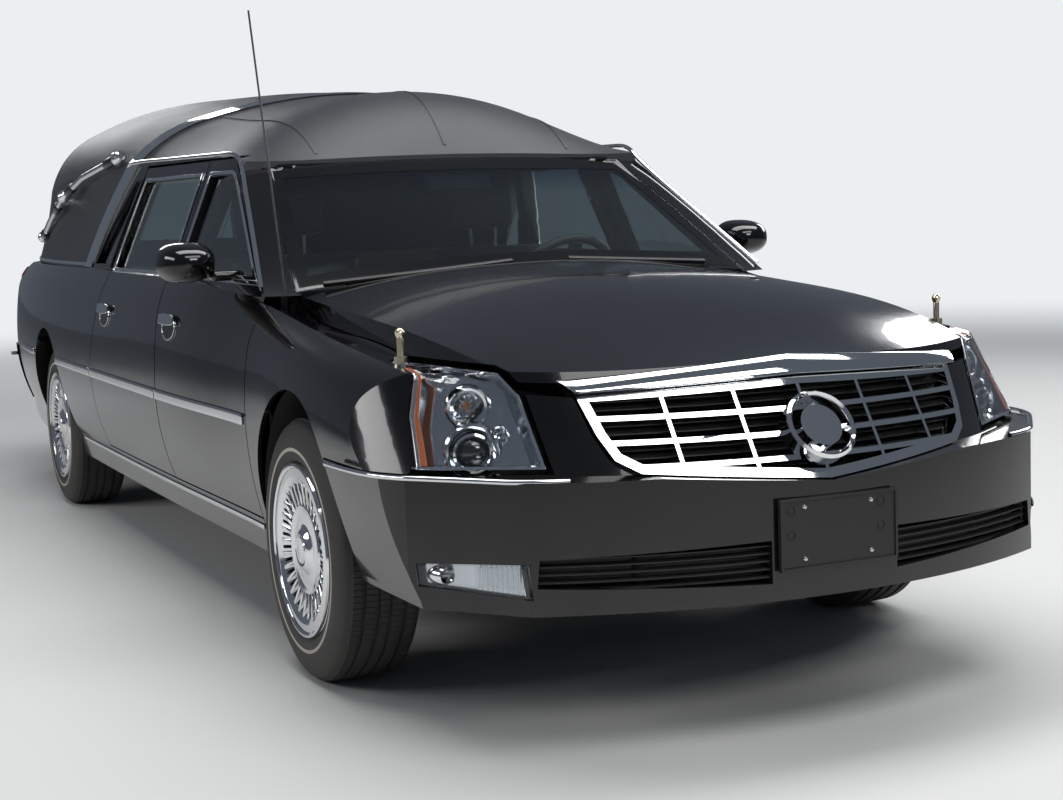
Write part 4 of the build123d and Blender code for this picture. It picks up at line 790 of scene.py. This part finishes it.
# Side trim: bright mouldings clipped along the doors, a bright strip on the rocker and a
# belt strip under the windows, each cut where the panels part.
for name, start, end, height, node, body in (
    ("moulding_front", (-1.522, 0.655), (-0.583, 0.655), 0.032, "front_door_left", "front_door"),
    ("moulding_rear", (-0.563, 0.655), (0.452, 0.655), 0.032, "rear_door_left", "rear_door"),
    ("moulding_quarter", (0.474, 0.655), (1.185, 0.655), 0.030, "side_frame_left", "body"),
    ("moulding_tail", (1.800, 0.655), (2.40, 0.655), 0.026, "side_frame_left", "body"),
    ("rocker_strip", (-1.532, 0.340), (1.06, 0.340), 0.014, "side_frame_left", "body"),
    ("belt_front", (-1.46, 1.036), (-0.583, 1.042), 0.013, "front_door_left", "front_door"),
    ("belt_rear", (-0.563, 1.042), (0.288, 1.046), 0.013, "rear_door_left", "rear_door"),
):
    thick = 0.0075 if name.startswith("moulding") else 0.004
    both_bright(side_band(name, start, end, height, node, thick=thick), body)


def mitred(points, by):
    """A flat outline moved outwards by an even margin."""
    after = points[1:] + points[:1]
    area = sum(here[0] * there[1] - there[0] * here[1] for here, there in zip(points, after))
    moved = []
    for last, here, there in zip(points[-1:] + points[:-1], points, after):
        first = (Vector(here) - Vector(last)).normalized()
        second = (Vector(there) - Vector(here)).normalized()
        out = Vector((first.y + second.y, -first.x - second.x)) * math.copysign(1, area)
        moved.append(tuple(Vector(here) + out * (by / (1 + first.dot(second)))))
    return moved


def flat_ring(name, points, width, cuts=0):
    """A flat band of even width inside an outline."""
    piece = outline(name, points)
    open_all(piece)
    bpy.ops.mesh.inset(thickness=width)
    bpy.ops.mesh.delete(type="FACE")
    if cuts:
        bpy.ops.mesh.select_all(action="SELECT")
        bpy.ops.mesh.subdivide(number_cuts=cuts)
    close_edit()
    return piece


def band_round(name, points, node, way, width, thick=0.004, cuts=7):
    """A band of even width inside an outline, laid on a node's skin."""
    piece = flat_ring(name, points, width, cuts)
    laid(piece, node, way, thick=thick)
    return piece


def patch(name, points, node, way, thick=0.003, cuts=24, lift=0.0005, edge=0.0):
    """A filled outline laid on a node's skin."""
    piece = outline(name, points)
    open_all(piece)
    bpy.ops.mesh.subdivide(number_cuts=2)
    bpy.ops.mesh.quads_convert_to_tris()
    bpy.ops.mesh.subdivide(number_cuts=cuts)
    close_edit()
    laid(piece, node, way, lift=lift, thick=thick, edge=edge)
    return piece


# Side windows: tinted panes behind bright frames. Each frame is a rolled bright band
# round its opening; the posts between the windows and the narrow pane's edge are black.
front_window = [(-1.380, 1.056), (-0.874, 1.352), (-0.840, 1.362), (-0.638, 1.362), (-0.638, 1.056)]
rear_window = [(-0.530, 1.056), (-0.530, 1.362), (0.106, 1.362), (0.260, 1.056)]
quarter_window = [(0.362, 1.066), (0.170, 1.366), (0.224, 1.366), (0.610, 1.066)]
gloss_black = grained("gloss_black_trim", (0.008, 0.008, 0.009), 0.12, 0.05, 400, 0.03, dust=0.05)
for name, window, node, body, finish in (
    ("front_window_frame", front_window, "front_door_left", "front_door", chrome),
    ("rear_window_frame", rear_window, "rear_door_left", "rear_door", chrome),
    ("quarter_window_frame", quarter_window, "side_frame_left", "body", gloss_black),
):
    points = [(side_x, y, z) for y, z in mitred(window, 0.014)]
    slot = "chrome" if finish is chrome else "body_paint"
    both_sides(band_round(name, points, node, (1, 0, 0), 0.012, thick=0.006), body, slot, finish)

# Door handles: a bright pull over a dark cup on each door.
for door, middle_y, middle_z in (("front", -0.735, 0.895), ("rear", 0.225, 0.895)):
    cup_points = [
        (side_x, middle_y + 0.078 * math.cos(turn), middle_z - 0.016 + 0.040 * math.sin(turn))
        for turn in (2 * math.pi * step / 32 for step in range(32))
    ]
    cup = band_round(f"{door}_handle_cup", cup_points, f"{door}_door_left", (1, 0, 0), 0.006, 0.004, 1)
    both_bright(cup, f"{door}_door")
    bowl = patch(f"{door}_handle_bowl", cup_points, f"{door}_door_left", (1, 0, 0), 0.0015, 4)
    both_sides(bowl, f"{door}_door", "body_paint", gloss_black)
    pull = grid(f"{door}_handle_pull", 16, 8, lambda along, up: (
        side_x, middle_y + along * 0.172,
        middle_z + 0.012 + up * 0.038 * (1 - along**2),
    ))
    laid(pull, f"{door}_door_left", (1, 0, 0), lift=0.010, thick=0.007, edge=0.003)
    both_bright(pull, f"{door}_door")

# Windshield and panes: laminated glass with a dark fired border, a blue band at its top
# and two wipers parked along its foot.
def clear_glass(name, color, rough, values=None):
    """A clear material, with more constants set on its shader where given."""
    material = new_material(name, color, rough)
    tune(material, {"Transmission Weight": 1.0, **(values or {})})
    return material


pane = clear_glass("tinted_pane", (0.62, 0.72, 0.70), 0.0, {"IOR": 1.45})
dress(pane, "loading_glass", *pair("front_glass", "rear_glass", "quarter_glass"))
windshield_color = (0.80, 0.88, 0.86)
front_pane = clear_glass("windshield_pane", windshield_color, 0.0, {"IOR": 1.45})
blue_top = mixed(front_pane, windshield_color, (0.10, 0.20, 0.34), height_mask(front_pane, 1.27, 1.37))
front_pane.node_tree.links.new(blue_top, shader_of(front_pane).inputs["Base Color"])
dress(front_pane, "windshield")
frit = grained("fired_border", (0.002, 0.002, 0.0022), 0.12, 0.05, 900, 0.02)
before_glass = -2.2
foot_line = [-0.742 + 1.484 * step / 12 for step in range(13)]
head_line = [0.620 - 1.240 * step / 8 for step in range(9)]
edge_points = [(x, before_glass, 1.055 - 0.088 * x**2) for x in foot_line]
edge_points += [(x, before_glass, 1.396 - 0.040 * x**2) for x in head_line]
border = flat_ring("windshield_border", edge_points, 0.038, 5)
laid(border, "windshield", (0, -1, 0), lift=0.0003, thick=0.0005, edge=0.0)
finish_piece(border, "body", "window_glass", frit)
matt_black = grained("matt_black", (0.012, 0.012, 0.012), 0.5, 0.15, 600, 0.3, dust=0.1)
for name, start, end in (
    ("wiper_blade_right", (-0.660, 1.026), (-0.085, 1.068)),
    ("wiper_blade_left", (0.100, 1.067), (0.600, 1.036)),
):
    wiper = grid(name, 40, 2, lambda along, up: (
        start[0] + (end[0] - start[0]) * (along + 0.5), before_glass,
        start[1] + (end[1] - start[1]) * (along + 0.5) + up * 0.007,
    ))
    laid(wiper, "windshield", (0, -1, 0), lift=0.001, thick=0.009, edge=0.002)
    finish_piece(wiper, "body", "black_plastic", matt_black)
dress(matt_black, "cowl")


def blackened(piece, material=matt_black):
    """Finishes one piece of the body as black moulded plastic."""
    finish_piece(piece, "body", "black_plastic", material)


# Mirrors: rounded black shells on short arms bolted to the doors' front corners, with a
# mirror glass in the rear face of each. They stand in for the plain solids.
bpy.ops.mesh.primitive_uv_sphere_add(segments=40, ring_count=20, radius=1)
shell = named("mirror_shell")
for vertex in shell.data.vertices:
    across, along, up = vertex.co
    vertex.co = (
        0.964 + 0.0875 * math.copysign(abs(across) ** 0.78, across),
        -1.1442 + (0.124 if along < 0 else 0.0002) * along,
        1.098 + 0.0605 * math.copysign(abs(up) ** 0.78, up),
    )
arm = box_piece("mirror_arm", (0.806, -1.236, 1.040), (0.905, -1.178, 1.070), 0.012)
for piece in (shell, arm):
    both_sides(piece, "front_door", "black_plastic", black_lacquer, "mirror_{side}", sharp=50)
mirror_glass = new_material("mirror_glass", (0.75, 0.77, 0.78), 0.01, 1.0)
mirror_points = [
    (0.964 + 0.074 * math.copysign(abs(math.cos(turn)) ** 0.5, math.cos(turn)), -0.9,
     1.098 + 0.048 * math.copysign(abs(math.sin(turn)) ** 0.5, math.sin(turn)))
    for turn in (2 * math.pi * step / 36 for step in range(36))
]
mirror_pane = patch("mirror_pane", mirror_points, "mirror_left", (0, 1, 0), 0.0015, 2, 0.0004)
twin = mirrored(mirror_pane, "mirror_pane_right")
mirror_pane.name = "mirror_pane_left"
finish_piece(mirror_pane, "front_door_left", "chrome", mirror_glass)
finish_piece(twin, "front_door_right", "chrome", mirror_glass)

# Landau bars: bright S-shaped irons on the roof's sides, with dark sleeves, a turned
# joint at the middle and a knob at each end.
bar_places = [
    (0.804, 0.450, 1.466), (0.868, 0.830, 1.404), (0.898, 1.130, 1.330), (0.880, 1.570, 1.230),
    (0.842, 1.970, 1.166),
]


def lathe_along(name, start, way, profile, steps=32):
    """A turned piece whose profile of (along, radius) pairs follows an axis."""
    way = Vector(way).normalized()
    start = Vector(start)
    side = way.cross(Vector((0, 0, 1))).normalized()
    points = [start + way * along + side * radius for along, radius in profile]
    return spun(name, points, start, way, steps)


for count, (share, reach) in enumerate(((0.20, 0.055), (0.62, 0.045), (0.42, 0.045), (0.80, 0.055))):
    start = Vector(bar_places[count])
    way = Vector(bar_places[count + 1]) - start
    sleeve_profile = [
        (-reach, 0.010), (-reach, 0.0165), (-reach + 0.008, 0.0195), (reach - 0.008, 0.0195),
        (reach, 0.0165), (reach, 0.010),
    ]
    sleeve = lathe_along(f"bar_sleeve_{count + 1}", start + way * share, way, sleeve_profile)
    both_sides(sleeve, "body", "chrome", gloss_black)
knob_profile = [
    (-0.030, 0.0), (-0.030, 0.014), (-0.022, 0.023), (-0.012, 0.019), (-0.004, 0.026),
    (0.012, 0.027), (0.022, 0.018), (0.030, 0.013), (0.034, 0.0),
]
for count, (spot, way) in enumerate((
    (bar_places[0], (0.2, 0.9, -0.2)),
    ((0.896, 1.110, 1.336), (0.05, 0.9, -0.25)),
    (bar_places[4], (-0.1, 0.9, -0.15)),
)):
    knob = lathe_along(f"bar_knob_{count + 1}", spot, way, knob_profile)
    both_bright(knob)

# Headlamps: a clear moulded cover over a bright bucket, with an amber strip down the
# outer edge, a fluted round lamp above and a projector lamp below.
lamp_face = [
    (0.604, 0.646), (0.843, 0.646), (0.827, 0.760), (0.790, 0.869), (0.653, 0.855), (0.625, 0.805),
]
front_y = -3.3
clear_cover = clear_glass("clear_cover", (0.97, 0.98, 0.99), 0.0, {"IOR": 1.40})
reflector = grained("lamp_reflector", (0.60, 0.63, 0.66), 0.14, 0.12, 160, 0.05, 1.0)
amber = grained("amber_strip", (0.62, 0.17, 0.06), 0.2, 0.1, 90, 0.3)
lamp_glass = clear_glass("lamp_glass", (0.90, 0.92, 0.93), 0.03)
dark_glass = grained("projector_glass", (0.02, 0.022, 0.02), 0.04, 0.02, 60, 0.02)
tune(dark_glass, {"Coat Weight": 1.0})


def front_patch(name, face, node, lift, thick, cuts=10):
    """A filled front-view outline laid on a node from the front."""
    return patch(name, [(x, front_y, z) for x, z in face], node, (0, -1, 0), thick, cuts, lift)


cover = front_patch("headlamp_cover", lamp_face, "headlamps", -0.0035, 0.003)
back = front_patch("headlamp_bucket", lamp_face, "headlamps", -0.080, 0.002)
wall_points = []
for here, there in zip(lamp_face, lamp_face[1:] + lamp_face[:1]):
    corner, next_corner = Vector((here[0], front_y, here[1])), Vector((there[0], front_y, there[1]))
    wall_points += [corner + (next_corner - corner) * (step / 12) for step in range(12)]
wall = outline("headlamp_wall", wall_points, "NOTHING")
project(wall, "headlamps", (0, -1, 0), -0.004)
open_all(wall)
bpy.ops.mesh.extrude_edges_move(TRANSFORM_OT_translate={"value": (0, 0.078, 0)})
close_edit()
thickened(wall, 0.0015)
amber_face = [
    (0.820, 0.652), (0.838, 0.652), (0.823, 0.760), (0.788, 0.862), (0.778, 0.860), (0.809, 0.757),
]
strip = front_patch("headlamp_amber", amber_face, "headlamps", -0.012, 0.003, 4)
lamp_points = [(x, front_y, z) for x, z in lamp_face]
bezel = band_round("headlamp_bezel", lamp_points, "headlamps", (0, -1, 0), 0.006, 0.001)
for piece, material in (
    (cover, clear_cover), (back, reflector), (wall, reflector), (strip, amber), (bezel, chrome),
):
    both_sides(piece, "body", "lens", material, "headlamps", sharp=50)
upper_ring = [
    (-0.010, 0.040), (-0.012, 0.046), (-0.006, 0.051), (0.020, 0.053), (0.040, 0.030),
    (0.036, 0.020), (0.012, 0.040),
]
lower_ring = [
    (-0.008, 0.037), (-0.012, 0.041), (-0.008, 0.046), (0.010, 0.048), (0.030, 0.040), (0.020, 0.034),
]
shroud_ring = [
    (0.000, 0.056), (-0.004, 0.062), (0.002, 0.068), (0.030, 0.070), (0.040, 0.050),
    (0.036, 0.048), (0.020, 0.060),
]
small_ring = [
    (-0.004, 0.010), (-0.006, 0.014), (0.000, 0.017), (0.016, 0.017), (0.018, 0.004), (0.010, 0.004),
]
flute_disc = [
    (-0.004, 0.0), (-0.003, 0.020), (0.000, 0.034), (0.006, 0.041), (0.010, 0.041), (0.008, 0.0),
]
eye_dome = [
    (-0.014, 0.0), (-0.012, 0.014), (-0.006, 0.026), (0.004, 0.034), (0.012, 0.037), (0.014, 0.0),
]
bulb_shape = [(0.010, 0.0), (0.012, 0.008), (0.020, 0.012), (0.030, 0.010), (0.032, 0.0)]
lamp_way = Vector((-0.34, 0.94, 0)).normalized()
upper_spot = Vector((0.706, -2.696, 0.776))
lower_spot = Vector((0.716, -2.746, 0.676))
for name, spot, profile, material in (
    ("upper_lamp_ring", upper_spot, upper_ring, chrome),
    ("upper_lamp_glass", upper_spot, flute_disc, lamp_glass),
    ("upper_lamp_bulb", upper_spot, bulb_shape, amber),
    ("lower_lamp_shroud", lower_spot, shroud_ring, reflector),
    ("lower_lamp_ring", lower_spot, lower_ring, chrome),
    ("lower_lamp_eye", lower_spot, eye_dome, dark_glass),
    ("small_lamp_ring", (0.662, -2.772, 0.722), small_ring, reflector),
):
    unit = lathe_along(name, spot, lamp_way, profile, 48)
    if name == "upper_lamp_glass":
        for vertex in unit.data.vertices:
            if (vertex.co - spot).dot(lamp_way) < 0.004:
                turn = (vertex.co.x - spot.x) * 2 * math.pi / 0.0075
                vertex.co -= lamp_way * 0.0012 * math.cos(turn)
    both_sides(unit, "body", "lens", material, "headlamps")

# Fog lamps: a clear cover over a round lamp outside and a ribbed lens inside, in the
# bumper's lower corners.
fog_face = [(0.687, 0.375), (0.865, 0.391), (0.869, 0.437), (0.693, 0.449)]
fog_cover = front_patch("fog_cover", fog_face, "fog_lamps", -0.003, 0.0025, 8)
fog_back = front_patch("fog_back", fog_face, "fog_lamps", -0.034, 0.002, 8)
rib_face = [(0.692, 0.381), (0.770, 0.388), (0.770, 0.438), (0.697, 0.443)]
fog_ribs = front_patch("fog_ribs", rib_face, "fog_lamps", -0.014, 0.003, 16)
for vertex in fog_ribs.data.vertices:
    vertex.co.y += 0.0016 * math.cos(vertex.co.x * 2 * math.pi / 0.008)
fog_round = lathe_along(
    "fog_round", (0.822, -2.800, 0.414), (0.35, 0.94, 0), [(u, r * 0.42) for u, r in upper_ring], 40
)
for piece, material in (
    (fog_cover, clear_cover), (fog_back, reflector), (fog_ribs, lamp_glass), (fog_round, chrome),
):
    both_sides(piece, "body", "lens", material, "fog_lamps", sharp=50)

# Grille: bright die-cast blades and bars in a bright frame, before black louvres and a
# black shield. A wide bright bar caps it on the hood's edge, and the round badge is bare.
grille_bow = 1.450


def bowed(piece, bow):
    """Bends a straight piece back from the middle of the car to a bow radius."""
    for vertex in piece.data.vertices:
        vertex.co.y += bow - math.sqrt(bow**2 - vertex.co.x**2)


def louvre(name, half, y, z, depth, tall, bow):
    """One thin bowed bar across the car."""
    piece = grid(name, 32, 2, lambda across, up: (across * 2 * half, y + up * depth, z + up * tall))
    bowed(piece, bow)
    thickened(piece, 0.0035, 0.001)
    return piece


def grille_slope(z):
    """The y of the raked grille's face at a height, on the car's middle line."""
    return -3.132 + (z - 0.590) * 0.162 / 0.244


half_rows = [(0.600, 0.360), (0.632, 0.415), (0.662, 0.462), (0.716, 0.484), (0.812, 0.505)]
for count in range(12):
    z = 0.612 + 0.0175 * count
    half = 0.36
    for (low_z, low_half), (high_z, high_half) in zip(half_rows, half_rows[1:]):
        if low_z <= z <= high_z:
            half = low_half + (high_half - low_half) * (z - low_z) / (high_z - low_z)
    y = grille_slope(z) + 0.058
    bar = louvre(f"grille_louvre_{count + 1}", half, y, z, 0.020, 0.008, grille_bow)
    blackened(bar)
shield_face = [
    (-0.36, 0.600), (0.36, 0.600), (0.462, 0.662), (0.512, 0.815), (-0.512, 0.815), (-0.462, 0.662),
]
shield = outline("grille_shield", [(x, grille_slope(z) + 0.082, z) for x, z in shield_face])
open_all(shield)
bpy.ops.mesh.quads_convert_to_tris()
bpy.ops.mesh.subdivide(number_cuts=12)
close_edit()
bowed(shield, grille_bow)
thickened(shield, 0.003)
blackened(shield)


def nose_y(x, z):
    """The y of the raked nose's middle part at a place across and up."""
    share = (z - 0.220) / 1.020
    centre = 0.654 * share - 1.366
    half = 0.588 + 0.066 * share
    rise = 0.522 * share - 1.118 - centre
    bow = (half**2 + rise**2) / (2 * rise)
    return front_axle.y + centre + bow - math.sqrt(bow**2 - x**2)


def bar_spot(x, y):
    """A place on the hood's bright bar, from the grille's top up to the nose."""
    across, up = x * 2, y + 0.5
    low = Vector((0.524 * across, 0, 0.826 - 0.016 * abs(across)))
    low.y = -2.988 + grille_bow - math.sqrt(grille_bow**2 - low.x**2)
    high = Vector((0.545 * across, 0, 0.868 - 0.034 * abs(across)))
    high.y = nose_y(high.x, high.z) - 0.002
    return low.lerp(high, up) + Vector((0, -0.020, 0.006)) * up * (1 - up)


hood_bar = grid("hood_bar", 48, 6, bar_spot)
face_way(hood_bar, (0, -1, 0))
thickened(hood_bar, 0.007, 0.0015)
bright(hood_bar, "hood")
ring_way = Vector((0, 0.244, -0.162)).normalized()
badge_ring = lathe_along(
    "badge_ring", (0, -3.074, 0.706), ring_way,
    [(-0.020, 0.076), (-0.027, 0.081), (-0.020, 0.0875), (0.004, 0.0875), (0.004, 0.076)], 64,
)
bright(badge_ring)

# Bumper: one painted moulding. A bright strip lies on its top edge under the lamps, and
# five dark slats cross the lower openings before a black shield.
strip_points = [
    (0.957, -2.400, 0.634), (0.953, -2.520, 0.634), (0.936, -2.640, 0.634), (0.902, -2.722, 0.634),
    (0.850, -2.788, 0.634), (0.770, -2.884, 0.634), (0.694, -2.976, 0.633), (0.600, -3.010, 0.632),
]
both_bright(rail("bumper_strip", strip_points, 0.0065))
bumper_bow = 1.509
bumper_face_y = -3.147
for count, z in enumerate((0.391, 0.409, 0.427, 0.445, 0.462)):
    y = bumper_face_y + 0.024
    slat = louvre(f"bumper_slat_{count + 1}", 0.672, y, z, 0.022, 0.004, bumper_bow)
    blackened(slat)
duct = grid(
    "bumper_shield", 32, 4, lambda across, up: (across * 1.34, bumper_face_y + 0.058, 0.428 + up * 0.13)
)
bowed(duct, bumper_bow)
thickened(duct, 0.003)
blackened(duct)

# Plate bracket: a blank moulded plastic plate on the bumper, with a raised rim, four
# screws and four dark holes for a plate's own screws.
dress(matt_black, "plate_bracket")
bracket_y = -3.1535
rim_face = [(-0.157, 0.403), (0.157, 0.403), (0.157, 0.565), (-0.157, 0.565)]
rim = flat_ring("bracket_rim", [(x, bracket_y, z) for x, z in rim_face], 0.006)
face_way(rim, (0, -1, 0))
thickened(rim, 0.004, 0.001, offset=1.0)
blackened(rim)
screw_profile = [
    (-0.0045, 0.0), (-0.0045, 0.0015), (-0.0040, 0.0040), (-0.0020, 0.0058), (0.0, 0.0064), (0.0, 0.0),
]
hole_profile = [
    (-0.0004, 0.0), (-0.0004, 0.0085), (-0.0022, 0.0090), (-0.0022, 0.0100), (0.0, 0.0115), (0.0, 0.0),
]
screw_spots = [(-0.092, 0.545), (0.086, 0.544), (-0.092, 0.427), (0.086, 0.428)]
hole_spots = [(-0.127, 0.538), (0.113, 0.538), (-0.127, 0.483), (0.113, 0.484)]
for label, profile, material, spots in (
    ("bracket_screw", screw_profile, roller_steel, screw_spots),
    ("bracket_hole", hole_profile, matt_black, hole_spots),
):
    for count, (x, z) in enumerate(spots):
        spot = (x, bracket_y + 0.0002, z)
        dot = lathe_along(f"{label}_{count + 1}", spot, (0, 1, 0), profile, 24)
        blackened(dot, material)

# Fender fittings: short flag staffs with a ball and a foot, and the radio mast.
staff = grained("staff_metal", (0.62, 0.55, 0.42), 0.22, 0.1, 200, 0.1, 1.0, dust=0.1)
staff_tree = staff.node_tree
mast_on = add_node(staff_tree, "TexCoord")
mast_split = add_node(staff_tree, "SeparateXYZ")
mast = add_node(staff_tree, "Math", "GREATER_THAN")
mast.inputs[1].default_value = -2.0
wire(staff_tree, (mast_on, "Object", mast_split, "Vector"), (mast_split, "Y", mast, 0))
over_base(staff, (0.03, 0.03, 0.032), mast.outputs["Value"])
dress(staff, "fittings")
ball = lathe_along(
    "staff_ball", (0.784, -2.483, 0.936), (0, 0.001, 1),
    [(-0.006, 0.0), (-0.006, 0.008), (0.000, 0.011), (0.008, 0.012), (0.016, 0.007), (0.019, 0.0)], 24,
)
both_sides(ball, "body", "brass", staff)

# Rear face: red lamps with a bright edge and a clear lower part, a bright frame round
# the door's glass, a pull handle, a blank plate holder and a high red lamp.
red_lens = grained("red_lens", (0.34, 0.006, 0.008), 0.08, 0.06, 120, 0.25)
tune(red_lens, {"Coat Weight": 1.0})
dress(red_lens, "tail_lamps")
behind = 3.6


def rear_patch(name, face, node, thick, cuts, lift=0.0005, edge=0.0):
    """A filled rear-view outline laid on a node from behind."""
    points = [(x, behind, z) for x, z in face]
    return patch(name, points, node, (0, 1, 0), thick, cuts, lift, edge)


def rear_band(name, face, node, width, thick, cuts=7):
    """A band inside a rear-view outline, laid on a node from behind."""
    return band_round(name, [(x, behind, z) for x, z in face], node, (0, 1, 0), width, thick, cuts)


def rear_face(half_foot, half_head, low, high):
    """A rear-view outline that is even about the car's middle."""
    return [(-half_foot, low), (half_foot, low), (half_head, high), (-half_head, high)]


door_glass_face = [(0.330, 1.120), (0.270, 1.450), (-0.270, 1.450), (-0.330, 1.120)]
plate_face = rear_face(0.17, 0.17, 0.72, 0.87)
grip_face = [(-0.50, 0.950), (-0.34, 0.950), (-0.34, 0.985), (-0.50, 0.985)]
door = "loading_door"
glass_frame = rear_band("door_glass_frame", mitred(door_glass_face, 0.018), door, 0.016, 0.005)
bright(glass_frame, door)
finish_piece(rear_patch("rear_plate_pad", plate_face, door, 0.003, 3), door, "vinyl", matt_black)
bright(rear_band("rear_plate_edge", plate_face, door, 0.010, 0.006, 3), door)
rear_belt = rear_patch("rear_belt", rear_face(0.548, 0.545, 1.046, 1.060), door, 0.004, 12)
bright(rear_belt, door)
bright(rear_patch("rear_handle", grip_face, door, 0.012, 5, 0.012, 0.003), door)
finish_piece(rear_patch("rear_handle_foot", grip_face, door, 0.012, 3), door, "vinyl", gloss_black)
lamp_edge_face = [(0.612, 0.700), (0.800, 0.700), (0.775, 1.000), (0.612, 1.000)]
lamp_edge = rear_band("tail_lamp_edge", lamp_edge_face, "tail_lamps", 0.007, 0.003)
both_bright(lamp_edge)
reverse_face = [(0.622, 0.712), (0.786, 0.712), (0.782, 0.770), (0.622, 0.770)]
reverse_lamp = rear_patch("reverse_lamp", reverse_face, "tail_lamps", 0.002, 8)
both_sides(reverse_lamp, "body", "red_lens", reflector)
high_lamp = rear_patch("high_lamp", rear_face(0.13, 0.125, 1.625, 1.650), "roof", 0.008, 6)
finish_piece(high_lamp, "body", "red_lens", red_lens)
strip_face = rear_face(0.86, 0.86, 0.556, 0.574)
rear_strip = rear_patch("rear_bumper_strip", strip_face, "rear_bumper", 0.004, 12)
bright(rear_strip)
